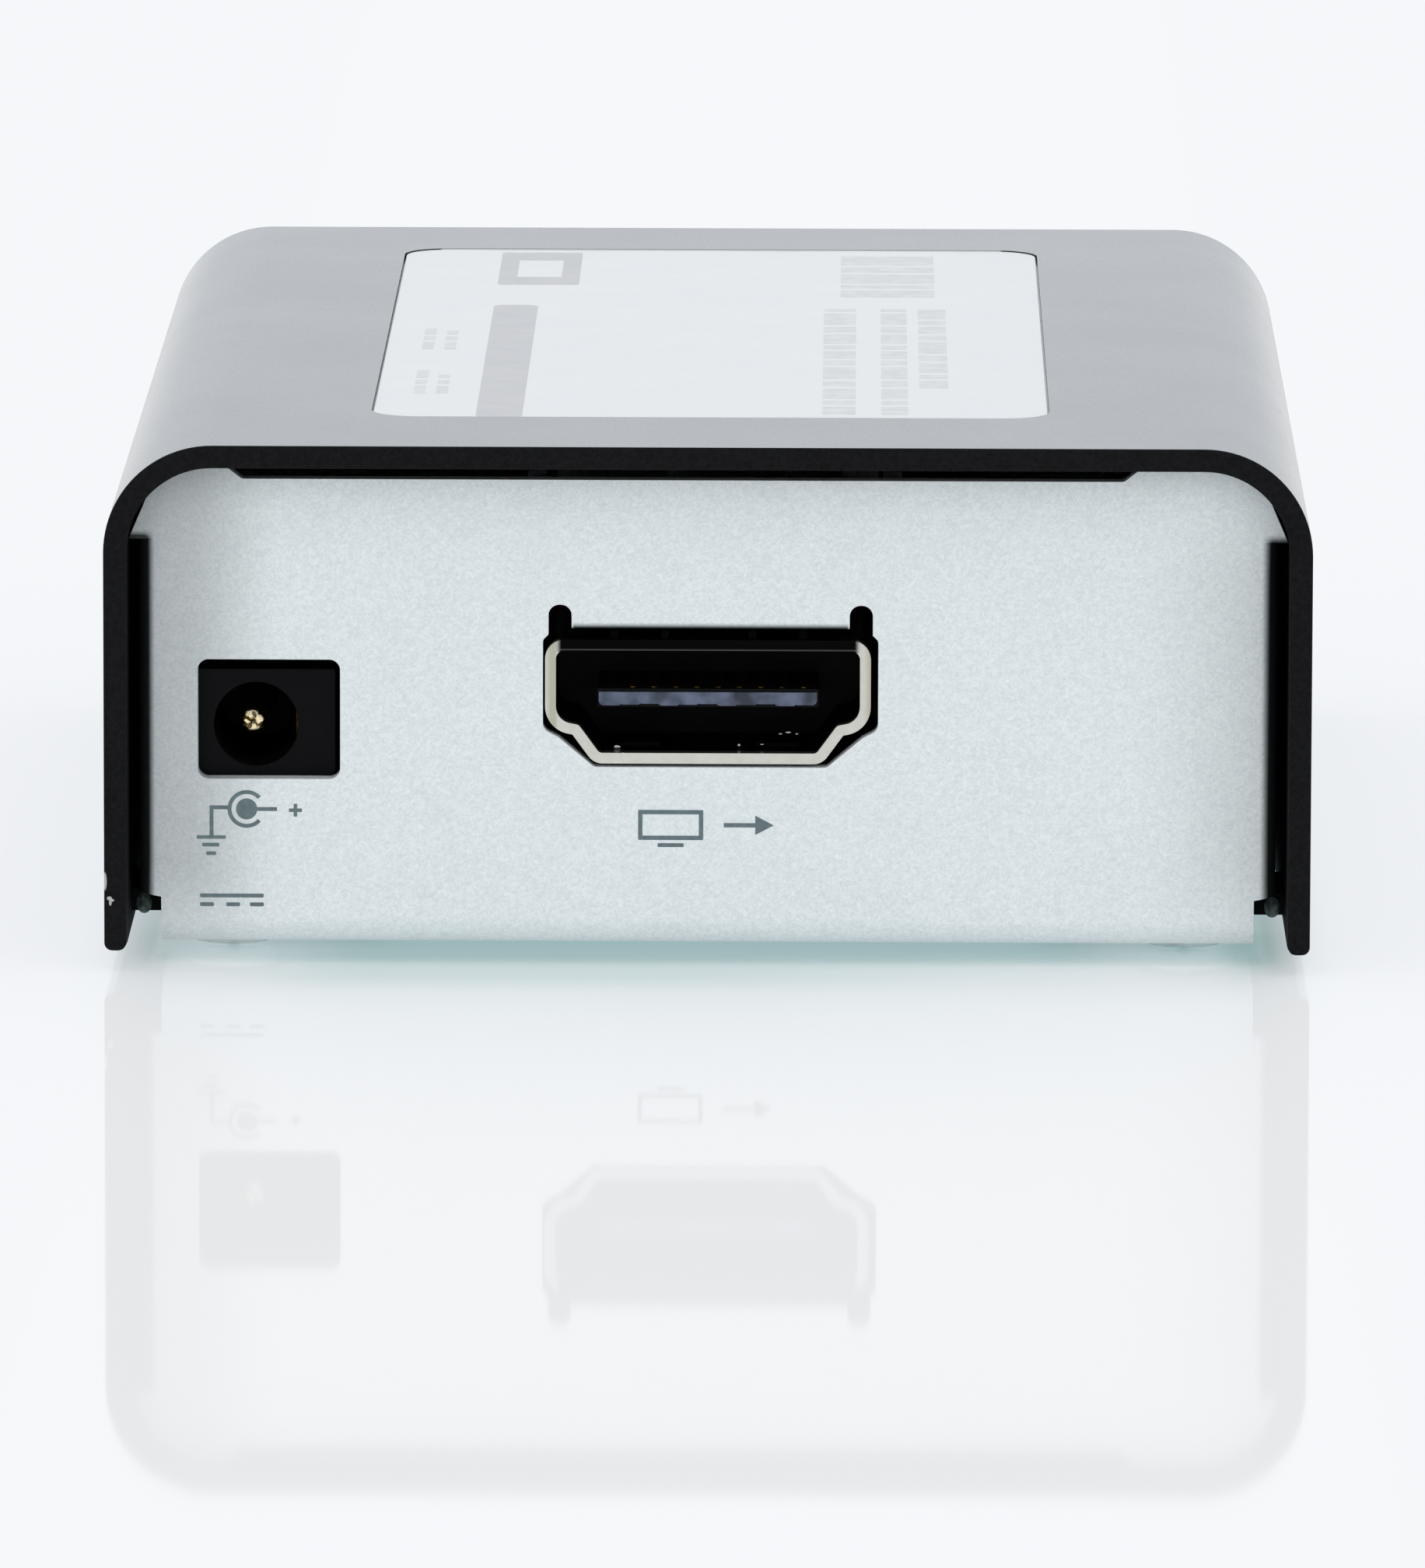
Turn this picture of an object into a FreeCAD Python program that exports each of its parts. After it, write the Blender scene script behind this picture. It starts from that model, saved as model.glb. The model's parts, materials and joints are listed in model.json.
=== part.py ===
"""A small metal-cased video receiver: a folded cover over a folded tray, a circuit board on
hexagonal standoffs, a video socket and a power jack at the front, a network jack at the back.

The frame has +Z up, the front panel faces -Y, and the origin is on the surface that the rubber
feet rest on, under the middle of the casing. Lengths are in millimetres.
"""

import FreeCAD, Part
import math
import os
import Sketcher
from FreeCAD import Placement, Rotation, Vector

# Driving dimensions, each written once

SIZES = {
    # How far a cut runs past a surface that it opens, and a feature into what it joins
    "CutOverrun": 1.0,
    "JoinDepth": 0.3,
    # Folded cover, open at the front and the back
    "CoverWidth": 55.5,
    "CoverLength": 79.0,
    "CoverHeight": 23.5,
    "CoverWall": 1.05,
    "CoverRadius": 5.0,
    "WallEndRadius": 0.35,
    # Tabs welded inside the cover's walls, which take the screws
    "TabMargin": 5.2,
    "TabWidth": 6.0,
    "TabEnd": 3.0,
    "TabCorner": 1.0,
    # Label plate in its shallow recess
    "LabelWidth": 31.4,
    "LabelLength": 60.5,
    "LabelMargin": 10.1,
    "LabelCorner": 2.2,
    "LabelThickness": 0.25,
    "LabelRecess": 0.3,
    "LabelGap": 0.12,
    # Folded tray
    "TraySheet": 1.0,
    "BendRadius": 0.3,
    "PanelRecess": 2.0,
    "PanelSideGap": 0.5,
    "PanelTopGap": 0.75,
    "PanelEdgeRadius": 0.75,
    "EarGap": 0.05,
    "EarRise": 0.4,
    "EarSlope": 0.9,
    "LeftEarFlat": 0.4,
    "RightEarFlat": 2.75,
    "OutlineRadius": 0.3,
    "ReliefHeight": 2.4,
    "ReliefSlope": 0.2,
    "ReliefDepth": 1.0,
    "FlangeHeight": 5.0,
    "FlangeGap": 0.35,
    "FlangeMargin": 12.0,
    # Screws that hold the cover
    "CoverScrewRadius": 1.25,
    "CoverScrewHeadRadius": 2.2,
    "CoverScrewHeadHeight": 0.8,
    "CoverScrewLength": 4.0,
    "CoverScrewEdge": 0.9,
    "ScrewGap": 0.1,
    "ThreadGap": 0.05,
    # Rubber feet
    "FootSide": 7.5,
    "FootCorner": 1.2,
    "FootHeight": 1.0,
    "FootInsetX": 6.2,
    "FootInsetY": 17.5,
    # Circuit board, its standoffs and screws
    "StandoffHeight": 5.1,
    "StandoffRadius": 2.9,
    "BoardThickness": 1.6,
    "BoardEndGap": 0.5,
    "BoardSideGap": 0.35,
    "BoardHoleRadius": 1.6,
    "BoardHoleInset": 5.0,
    "BoardHoleFront": 16.5,
    "BoardHoleRear": 12.5,
    "BoardScrewRadius": 1.45,
    "BoardScrewHeadRadius": 2.75,
    "BoardScrewHeadHeight": 1.9,
    "BoardScrewLength": 6.0,
    "FilmThickness": 0.25,
    "FilmGap": 0.5,
    # Video socket
    "SocketWidth": 14.0,
    "SocketHeight": 4.77,
    "SocketShoulderHeight": 1.3,
    "SocketShoulderDrop": 0.2,
    "SocketShoulderInset": 1.05,
    "SocketBottomInset": 2.0,
    "SocketSideRadius": 0.8,
    "SocketTopRadius": 0.4,
    "SocketWall": 0.35,
    "SocketRimWall": 0.5,
    "SocketRimDepth": 0.6,
    "SocketLength": 11.8,
    "SocketSetback": 0.1,
    "SocketLift": 0.79,
    "SocketDepth": 6.2,
    "SocketBlockOverhang": 1.2,
    "SocketLegWidth": 1.2,
    "SocketLegFront": 3.4,
    "SocketLegSpacing": 5.9,
    "SocketSpringWidth": 2.0,
    "SocketSpringLength": 4.6,
    "SocketSpringFront": 1.5,
    "SocketSpringSpacing": 6.4,
    "SocketSpringSlit": 0.35,
    "SocketSpringReach": 0.4,
    "SocketSpringCrest": 1.2,
    "TongueWidth": 10.2,
    "TongueThickness": 0.85,
    "TongueRise": 2.0,
    "TongueSetback": 1.0,
    "VideoContactWidth": 0.45,
    "VideoContactPitch": 1.0,
    "VideoContactThickness": 0.2,
    "VideoContactSetback": 0.35,
    "VideoTailSpacing": 1.0,
    # Opening in the front panel for the video socket
    "WindowOffset": 0.12,
    "WindowSideGap": 0.22,
    "WindowTopGap": 0.5,
    "WindowBottomGap": 0.15,
    "WindowFootGap": 0.35,
    "WindowShoulderInset": 0.72,
    "WindowShoulderDrop": 0.57,
    "WindowSlotWidth": 1.07,
    "WindowSlotSpacing": 13.86,
    "WindowSlotHeight": 1.14,
    "WindowSlotRadius": 0.5,
    # Power jack
    "JackInset": 5.85,
    "JackWidth": 6.35,
    "JackHeight": 5.0,
    "JackLength": 11.6,
    "JackGap": 0.1,
    "JackBoreRadius": 1.95,
    "JackBoreDepth": 9.0,
    "JackBoreOffset": 0.49,
    "JackAxisHeight": 2.42,
    "JackPinRadius": 0.665,
    "JackPinOffset": 0.2,
    "JackPinSetback": 0.9,
    "JackPinShankRadius": 0.9,
    "JackPinFit": 0.02,
    "JackPinChamfer": 0.25,
    "JackTagWidth": 2.2,
    "JackTagThickness": 0.4,
    "JackSpringThickness": 0.25,
    "JackSpringWidth": 1.8,
    "JackSpringReach": 1.5,
    "JackSpringSeat": 2.95,
    "JackSpringNose": 1.8,
    "JackSpringCrest": 3.6,
    "JackSpringKnee": 6.75,
    "JackSpringCurl": 0.3,
    "JackSlotFront": 1.1,
    "JackSlotHeight": 2.2,
    "JackOpeningInset": 0.03,
    "JackOpeningSideGap": 0.24,
    "JackOpeningTopGap": 0.6,
    "JackOpeningRadius": 0.5,
    # Network jack
    "NetWidth": 15.9,
    "NetHeight": 12.7,
    "NetLength": 20.9,
    "NetProud": 0.4,
    "NetShieldWall": 0.25,
    "NetPlay": 0.05,
    "NetOpeningGap": 0.2,
    "NetCavityWidth": 11.8,
    "NetCavityDepth": 14.5,
    "NetLatchWidth": 6.3,
    "NetLatchHeight": 1.5,
    "NetKeyWidth": 4.1,
    "NetKeyHeight": 1.1,
    "NetFloorHeight": 0.75,
    "NetContactPitch": 1.02,
    "NetContactWidth": 0.46,
    "NetContactThickness": 0.3,
    "NetContactSetback": 1.9,
    "NetContactReach": 9.5,
    "NetContactDrop": 2.4,
    "NetContactHeel": 1.6,
    "NetContactCover": 0.2,
    "NetCombDepth": 0.5,
    "NetCombGap": 1.2,
    "NetShieldGap": 0.2,
    "NetTailInset": 1.5,
    "NetLampWidth": 3.2,
    "NetLampHeight": 1.3,
    "NetLampSpacing": 11.4,
    "NetLampLength": 9.0,
    "NetLampTopMargin": 0.4,
    "NetLampLand": 0.6,
    "NetLegWidth": 1.6,
    "NetLegInset": 8.0,
    # Legs and pins that pass through the board
    "LegReach": 0.9,
    "LegGap": 0.12,
    # Receiver chip and its heat sink
    "ChipSide": 12.0,
    "ChipHeight": 1.1,
    "PadSide": 11.0,
    "PadThickness": 0.5,
    "SinkSideGap": 5.5,
    "SinkFrontGap": 2.35,
    "SinkRearGap": 1.7,
    "SinkBase": 1.5,
    "SinkFin": 0.9,
    "SinkFinHeight": 6.0,
    # Line transformer in front of the network jack
    "TransformerWidth": 15.1,
    "TransformerDepth": 6.6,
    "TransformerHeight": 5.4,
    "TransformerGap": 2.0,
    "TransformerChamfer": 0.5,
    "TransformerStandoff": 0.3,
    "LeadPitch": 1.6,
    "LeadWidth": 0.5,
    "LeadThickness": 0.25,
    "LeadReach": 1.1,
    "LeadHeight": 1.6,
    # Power supply parts
    "SupplyInset": 7.5,
    "SupplyFrontGap": 3.05,
    "CapacitorRadius": 3.15,
    "CapacitorHeight": 7.0,
    "CapacitorSpacing": 7.6,
    "CapacitorBase": 6.6,
    "CapacitorBaseHeight": 1.1,
    "CapacitorBaseCut": 1.1,
    "InductorSide": 6.0,
    "InductorHeight": 3.0,
    "InductorGap": 3.0,
    "InductorChamfer": 1.2,
    "RegulatorSide": 4.4,
    "RegulatorHeight": 1.5,
    "RegulatorOffset": 1.0,
    # Other parts on the board
    "DriverSide": 6.5,
    "DriverHeight": 0.9,
    "DriverGap": 1.95,
    "ControllerSide": 7.0,
    "ControllerHeight": 1.4,
    "ControllerGap": 4.9,
    "CrystalLength": 5.0,
    "CrystalWidth": 3.2,
    "CrystalHeight": 1.1,
    "CrystalGap": 6.65,
    "CrystalChamfer": 0.5,
    "ChipEdge": 0.2,
    "CeramicLength": 1.6,
    "CeramicWidth": 0.8,
    "CeramicHeight": 0.8,
    "CeramicPitch": 1.6,
    "CeramicGap": 1.2,
}

UPPER_VIDEO_CONTACTS = 10
LOWER_VIDEO_CONTACTS = 9
NET_CONTACTS = 8
SINK_FINS = 7
TRANSFORMER_LEADS = 8
CERAMIC_PARTS = 6
PILLAR_SIDE_COUNT = 6

SIGNS = (-1, 1)
CORNERS = [(across, along) for across in SIGNS for along in SIGNS]
FACING_BACK = Rotation(Vector(1, 0, 0), -90)

document = FreeCAD.newDocument("VideoReceiver")
sheet = document.addObject("Spreadsheet::Sheet", "Sizes")
for row, (alias, length) in enumerate(SIZES.items(), 1):
    sheet.set(f"A{row}", alias)
    sheet.set(f"B{row}", str(length))
    sheet.setAlias(f"B{row}", alias)
document.recompute()


# Sizes that carry their formula


class Size:
    """A length together with the formula over the sheet's cells that gives it."""

    def __init__(self, value, formula):
        self.value = float(value)
        self.formula = formula

    def combined(self, sign, other, value):
        return Size(value, f"({self.formula} {sign} {formula_of(other)})")

    def __add__(self, other):
        return self.combined("+", other, self.value + value_of(other))

    def __sub__(self, other):
        return self.combined("-", other, self.value - value_of(other))

    def __mul__(self, other):
        return self.combined("*", other, self.value * value_of(other))

    def __truediv__(self, other):
        return self.combined("/", other, self.value / value_of(other))

    def __rmul__(self, other):
        return self * other

    def __neg__(self):
        return self * -1


def value_of(length):
    return length.value if isinstance(length, Size) else float(length)


def formula_of(length):
    return length.formula if isinstance(length, Size) else f"{float(length):.6f}"


def bind(item, path, length):
    """Ties one property of an object to a formula over the sheet."""
    item.setExpression(path, formula_of(length))


class Sheet:
    """Gives each cell of the sheet as a Size: cell.CoverWidth and so on."""

    def __getattr__(self, alias):
        return Size(SIZES[alias], f"Sizes.{alias}")


cell = Sheet()

# Levels and places that several pieces share

half_width = cell.CoverWidth / 2
half_length = cell.CoverLength / 2
inner_half = half_width - cell.CoverWall
base = cell.FootHeight
cover_top = base + cell.CoverHeight
inner_top = cover_top - cell.CoverWall
inner_radius = cell.CoverRadius - cell.CoverWall
floor_top = base + cell.TraySheet
panel_face = half_length - cell.PanelRecess
panel_inside = panel_face - cell.TraySheet
panel_side = inner_half - cell.PanelSideGap
floor_side = panel_side - cell.ReliefDepth
flange_outside = inner_half - cell.FlangeGap
flange_inside = flange_outside - cell.TraySheet
flange_end = half_length - cell.FlangeMargin
tab_centre = half_length - cell.TabMargin - cell.TabWidth / 2
tab_screw_x = floor_side - cell.CoverScrewHeadRadius - cell.CoverScrewEdge
foot_x = floor_side - cell.FootInsetX
foot_y = half_length - cell.FootInsetY
board_under = floor_top + cell.StandoffHeight
board_top = board_under + cell.BoardThickness
board_front = -panel_inside + cell.BoardEndGap
board_side = flange_inside - cell.BoardSideGap
board_hole_x = board_side - cell.BoardHoleInset
board_hole_rows = (board_front + cell.BoardHoleFront, -board_front - cell.BoardHoleRear)
leg_end = board_under - cell.LegReach

socket_front = -panel_face + cell.SocketSetback
socket_bottom = board_top + cell.SocketLift + cell.SocketRimWall
socket_rear = socket_front + cell.SocketLength
socket_block_front = socket_front + cell.SocketDepth
socket_block_rear = socket_rear + cell.SocketBlockOverhang

jack_front = -panel_inside + cell.JackGap
jack_rear = jack_front + cell.JackLength
jack_x = cell.JackInset - panel_side
jack_bore_x = jack_x - cell.JackBoreOffset
jack_pin_x = jack_bore_x - cell.JackPinOffset
jack_axis = board_top + cell.JackAxisHeight

net_face = panel_face + cell.NetProud
net_rear = net_face - cell.NetLength
net_top = board_top + cell.NetHeight
net_cavity_floor = board_top + cell.NetFloorHeight + cell.NetKeyHeight + cell.NetLatchHeight
net_insert_half = cell.NetWidth / 2 - cell.NetShieldWall - cell.NetPlay
net_insert_top = net_top - cell.NetShieldWall - cell.NetPlay
net_insert_front = net_face - cell.NetShieldWall
net_insert_rear = net_rear + cell.NetShieldWall + cell.NetPlay
net_tail_y = net_insert_rear + cell.NetTailInset
lamp_top = net_insert_top - cell.NetLampTopMargin
net_cavity_top = lamp_top - cell.NetLampHeight - cell.NetLampLand

chip_top = board_top + cell.ChipHeight
sink_bottom = chip_top + cell.PadThickness
transformer_y = net_rear - cell.TransformerGap - cell.TransformerDepth / 2
video_tail_rear = socket_block_rear + cell.VideoTailSpacing + cell.VideoContactThickness
driver_y = video_tail_rear + cell.DriverGap + cell.DriverSide / 2
sink_front = driver_y + cell.DriverSide / 2 + cell.SinkFrontGap
lead_front = transformer_y - cell.TransformerDepth / 2 - cell.LeadReach
sink_rear = lead_front - cell.SinkRearGap
sink_y = (sink_front + sink_rear) / 2
supply_x = board_side - cell.SupplyInset
sink_half = supply_x - cell.InductorSide / 2 - cell.SinkSideGap
supply_front = board_hole_rows[0] + cell.BoardScrewHeadRadius

label_front = -half_length + cell.LabelMargin
label_rear = label_front + cell.LabelLength
tab_screws = [(tab_screw_x * across, tab_centre * along) for across, along in CORNERS]
board_holes = [(board_hole_x * side, row) for side in SIGNS for row in board_hole_rows]

socket_leg_rows = [socket_front + cell.SocketLegFront + cell.SocketLegSpacing * index
                   for index in range(2)]
tongue_front = socket_front + cell.TongueSetback
tongue_bottom = socket_bottom + cell.TongueRise
tongue_top = tongue_bottom + cell.TongueThickness
jack_bore_end = jack_front + cell.JackBoreDepth
jack_tag_rear = jack_rear + cell.JackTagThickness
jack_spring_rear = jack_bore_end - cell.JackSpringThickness
net_first_contact = -cell.NetContactPitch * (NET_CONTACTS - 1) / 2
net_leg_y = net_face - cell.NetLegInset - cell.NetLegWidth

pieces = []

# Bodies, sketches and features

PLANE_SIGNS = {"XY": 1, "XZ": -1, "YZ": 1}


def new_body(name):
    body = document.addObject("PartDesign::Body", name)
    body.Label = name
    return body


def finished(item, name):
    """Counts an object as a piece of the receiver, under the name of its node."""
    item.Label = name
    pieces.append(item)
    return item


def new_sketch(body, plane, level):
    """A sketch on one of the body's own origin planes, moved to a level along its world axis."""
    role = f"{plane}_Plane"
    origin_plane = [item for item in body.Origin.OriginFeatures if item.Role == role][0]
    sketch = body.newObject("Sketcher::SketchObject", f"{body.Name}_sketch")
    sketch.AttachmentSupport = (origin_plane, [""])
    sketch.MapMode = "FlatFace"
    bind(sketch, "AttachmentOffset.Base.z", level * PLANE_SIGNS[plane])
    return sketch


def hold(sketch, kind, *where_and_size):
    """Adds a dimension to a sketch and ties it to its formula."""
    *where, length = where_and_size
    index = sketch.addConstraint(Sketcher.Constraint(kind, *where, value_of(length)))
    bind(sketch, f"Constraints[{index}]", length)


def hold_point(sketch, geometry, point, across, up):
    hold(sketch, "DistanceX", -1, 1, geometry, point, across)
    hold(sketch, "DistanceY", -1, 1, geometry, point, up)


def draw_circle(sketch, across, up, radius):
    centre = Vector(value_of(across), value_of(up), 0)
    circle = Part.Circle(centre, Vector(0, 0, 1), value_of(radius))
    index = sketch.addGeometry(circle, False)
    hold_point(sketch, index, 3, across, up)
    hold(sketch, "Radius", index, radius)


def draw_outline(sketch, corners):
    """A closed outline through corners (across, up), or (across, up, radius) where it is round.

    A round corner keeps its sharp point as construction geometry, which carries the dimensions.
    """
    points = [Vector(value_of(corner[0]), value_of(corner[1]), 0) for corner in corners]
    arrivals = []
    departures = []
    arcs = []
    for index, corner in enumerate(corners):
        point = points[index]
        back = (points[index - 1] - point).normalize()
        ahead = (points[(index + 1) % len(points)] - point).normalize()
        radius = value_of(corner[2]) if len(corner) > 2 else 0.0
        half_angle = back.getAngle(ahead) / 2
        setback = radius / math.tan(half_angle)
        arrivals.append(point + back * setback)
        departures.append(point + ahead * setback)
        if radius:
            centre = point + (back + ahead).normalize() * (radius / math.sin(half_angle))
            turns_left = ahead.cross(back).z > 0
            arcs.append((index, centre, radius, turns_left))
    lines = []
    for index in range(len(points)):
        line = Part.LineSegment(departures[index], arrivals[(index + 1) % len(points)])
        lines.append(sketch.addGeometry(line, False))
    round_corners = set()
    for index, centre, radius, turns_left in arcs:
        round_corners.add(index)
        ends = (arrivals[index], departures[index])
        first, last = ends if turns_left else reversed(ends)
        angles = [math.atan2(end.y - centre.y, end.x - centre.x) for end in (first, last)]
        circle = Part.Circle(centre, Vector(0, 0, 1), radius)
        arc = sketch.addGeometry(Part.ArcOfCircle(circle, *angles), False)
        arrive_end, depart_end = (1, 2) if turns_left else (2, 1)
        before = lines[index - 1]
        after = lines[index]
        sketch.addConstraint(Sketcher.Constraint("Tangent", before, 2, arc, arrive_end))
        sketch.addConstraint(Sketcher.Constraint("Tangent", arc, depart_end, after, 1))
        corner_point = sketch.addGeometry(Part.Point(points[index]), True)
        sketch.addConstraint(Sketcher.Constraint("PointOnObject", corner_point, 1, before))
        sketch.addConstraint(Sketcher.Constraint("PointOnObject", corner_point, 1, after))
        hold_point(sketch, corner_point, 1, corners[index][0], corners[index][1])
        hold(sketch, "Radius", arc, corners[index][2])
    for index, corner in enumerate(corners):
        if index not in round_corners:
            joined = Sketcher.Constraint("Coincident", lines[index - 1], 2, lines[index], 1)
            sketch.addConstraint(joined)
            hold_point(sketch, lines[index], 1, corner[0], corner[1])


def rectangle(low, high, radius=None):
    """The four corners of a rectangle between two opposite corners."""
    ends = [(low[0], low[1]), (high[0], low[1]), (high[0], high[1]), (low[0], high[1])]
    return [(*end, radius) for end in ends] if radius else ends


def cut_square(middle, half, cut):
    """The eight corners of a square round a middle point, with its own corners cut off."""
    x, y = middle
    return [
        (x - half, y - half + cut),
        (x - half + cut, y - half),
        (x + half - cut, y - half),
        (x + half, y - half + cut),
        (x + half, y + half - cut),
        (x + half - cut, y + half),
        (x - half + cut, y + half),
        (x - half, y + half - cut),
    ]


def side_walls(outer, wall):
    """Low and high places across of two upright walls, one each side of the middle plane."""
    return [(-outer, wall - outer), (outer - wall, outer)]


def mirrored(corners):
    """The same corners on the other side of the middle plane."""
    return [(-corner[0], *corner[1:]) for corner in corners]


def add_pad(body, sketch, length, side="One side", reverse=False, pocket=False):
    """Pads or pockets a sketch. A pocket goes against the sketch's normal unless reversed."""
    kind = "Pocket" if pocket else "Pad"
    feature = body.newObject(f"PartDesign::{kind}", f"{body.Name}_{kind.lower()}")
    feature.Profile = sketch
    feature.SideType = side
    feature.Reversed = reverse
    bind(feature, "Length", length)
    return feature


def pad(body, plane, level, outlines, length, **options):
    """Pads or pockets one or more closed outlines drawn in a new sketch."""
    sketch = new_sketch(body, plane, level)
    for corners in outlines:
        draw_outline(sketch, corners)
    return add_pad(body, sketch, length, **options)


def pad_circles(body, plane, level, centres, radius, length, **options):
    """Pads or pockets a set of equal circles."""
    sketch = new_sketch(body, plane, level)
    for across, up in centres:
        draw_circle(sketch, across, up, radius)
    return add_pad(body, sketch, length, **options)


def set_place(item, x, y, z):
    for axis, length in zip("xyz", (x, y, z)):
        bind(item, f"Placement.Base.{axis}", length)


def add_box(body, low, high, cut=False):
    """A block between two opposite corners, added to the body or cut from it."""
    kind = "SubtractiveBox" if cut else "AdditiveBox"
    box = body.newObject(f"PartDesign::{kind}", f"{body.Name}_box")
    for path, axis in (("Length", 0), ("Width", 1), ("Height", 2)):
        bind(box, path, high[axis] - low[axis])
    set_place(box, *low)
    return box


def add_cylinder(body, foot, radius, height, turn=None, cut=False):
    """A cylinder that stands on a point, upright unless it is turned."""
    kind = "SubtractiveCylinder" if cut else "AdditiveCylinder"
    cylinder = body.newObject(f"PartDesign::{kind}", f"{body.Name}_cylinder")
    if turn:
        cylinder.Placement = Placement(Vector(), turn)
    bind(cylinder, "Radius", radius)
    bind(cylinder, "Height", height)
    set_place(cylinder, *foot)
    return cylinder


def edges_at(feature, axis, places):
    """Names of the feature's straight edges along an axis that pass through given places.

    A place is the pair of the other two coordinates, in X, Y, Z order.
    """
    document.recompute()
    others = [index for index in range(3) if index != axis]
    wanted = [(value_of(first), value_of(second)) for first, second in places]
    names = []
    for number, edge in enumerate(feature.Shape.Edges, 1):
        ends = [vertex.Point for vertex in edge.Vertexes]
        if len(ends) != 2 or edge.Curve.TypeId != "Part::GeomLine":
            continue
        for first, second in wanted:
            off = [abs(end[others[0]] - first) + abs(end[others[1]] - second) for end in ends]
            if max(off) < 0.001:
                names.append(f"Edge{number}")
    return names


def circles_at(feature, axis, level, radius):
    """Names of the feature's full circles at a level along an axis, with a given radius."""
    document.recompute()
    names = []
    for number, edge in enumerate(feature.Shape.Edges, 1):
        if edge.Curve.TypeId != "Part::GeomCircle" or not edge.isClosed():
            continue
        at_level = abs(edge.CenterOfMass[axis] - value_of(level)) < 0.001
        if at_level and abs(edge.Curve.Radius - value_of(radius)) < 0.001:
            names.append(f"Edge{number}")
    return names


def dress(body, kind, feature, edges, size):
    """Rounds or chamfers edges of the body's last feature."""
    dressed = body.newObject(f"PartDesign::{kind}", f"{body.Name}_{kind.lower()}")
    dressed.Base = (feature, edges)
    bind(dressed, "Radius" if kind == "Fillet" else "Size", size)
    return dressed


def repeat(body, features, pitch, count):
    """Repeats features in a row along X."""
    row = body.newObject("PartDesign::LinearPattern", f"{body.Name}_row")
    row.Originals = features
    x_axis = [item for item in body.Origin.OriginFeatures if item.Role == "X_Axis"][0]
    row.Direction = (x_axis, [""])
    row.Occurrences = count
    bind(row, "Length", pitch * (count - 1))
    body.Tip = row
    return row


def cut_from(name, whole, tools):
    """A piece with the shapes of others cut out of it, so that they seat in it."""
    tool = document.addObject("Part::Compound", f"{name}_tools")
    tool.Links = tools
    cut = document.addObject("Part::Cut", f"{name}_cut")
    cut.Base = whole
    cut.Tool = tool
    return cut


def block(name, low, high, chamfer=None):
    """A plain rectangular component with its upright edges chamfered where asked."""
    body = new_body(name)
    box = add_box(body, low, high)
    if chamfer:
        places = [(x, y) for x in (low[0], high[0]) for y in (low[1], high[1])]
        dress(body, "Chamfer", box, edges_at(box, 2, places), chamfer)
    return finished(body, name)


# The casing


def make_cover():
    """U of sheet metal with the label's recess and four screw tabs inside its walls."""
    body = new_body("top_cover")
    end = cell.WallEndRadius
    left = [(-half_width, base, end), (-half_width, cover_top, cell.CoverRadius)]
    right = [(half_width, cover_top, cell.CoverRadius), (half_width, base, end)]
    inside_right = [(inner_half, base, end), (inner_half, inner_top, inner_radius)]
    inside_left = [(-inner_half, inner_top, inner_radius), (-inner_half, base, end)]
    outline = left + right + inside_right + inside_left
    pad(body, "XZ", 0, [outline], cell.CoverLength, side="Symmetric")

    tabs = []
    for across, along in CORNERS:
        root = (inner_half + cell.JoinDepth) * across
        tip = (tab_screw_x - cell.TabEnd) * across
        front = tab_centre * along - cell.TabWidth / 2
        rear = tab_centre * along + cell.TabWidth / 2
        cut = cell.TabCorner
        shoulder = tip + cut * across
        tabs.append([
            (root, front),
            (root, rear),
            (shoulder, rear),
            (tip, rear - cut),
            (tip, front + cut),
            (shoulder, front),
        ])
    pad(body, "XY", floor_top, tabs, cell.CoverWall)
    bore = cell.CoverScrewRadius + cell.ThreadGap
    options = {"reverse": True, "pocket": True}
    pad_circles(body, "XY", floor_top, tab_screws, bore, cell.CoverWall, **options)

    recess_half = cell.LabelWidth / 2 + cell.LabelGap
    recess_low = (-recess_half, label_front - cell.LabelGap)
    recess_high = (recess_half, label_rear + cell.LabelGap)
    recess = rectangle(recess_low, recess_high, cell.LabelCorner + cell.LabelGap)
    pad(body, "XY", cover_top, [recess], cell.LabelRecess, pocket=True)
    finished(body, "top_cover")


def make_label_plate():
    """Thin printed plate that lies in the cover's recess."""
    body = new_body("label_plate")
    low = (-cell.LabelWidth / 2, label_front)
    high = (cell.LabelWidth / 2, label_rear)
    outline = rectangle(low, high, cell.LabelCorner)
    pad(body, "XY", cover_top - cell.LabelRecess, [outline], cell.LabelThickness)
    finished(body, "label_plate")


def ear_corners(flat):
    """Right half of a panel's outline, from the floor up to the dip beside the ear.

    Above the floor's bend the panel widens to its rolled side. The ear follows the rounded
    inside of the cover through an eighth of a turn, and below that it is cut off straight
    down to its tip.
    """
    centre_x = inner_half - inner_radius
    centre_z = inner_top - inner_radius
    radius = inner_radius - cell.EarGap
    eighth = math.tan(math.pi / 8)
    contact = 0.5 / math.sqrt(2)
    soft = cell.OutlineRadius
    tip = centre_z + cell.EarRise
    return [
        (floor_side, base),
        (floor_side, base + cell.ReliefHeight - cell.ReliefSlope),
        (panel_side, base + cell.ReliefHeight),
        (panel_side, tip),
        (inner_half - cell.EarGap, tip),
        (centre_x + radius * (eighth + contact), centre_z + radius * (1 - contact)),
        (centre_x + radius * eighth, centre_z + radius, radius),
        (centre_x - flat, centre_z + radius, soft),
        (centre_x - flat - cell.EarSlope, inner_top - cell.PanelTopGap, soft),
    ]


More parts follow.
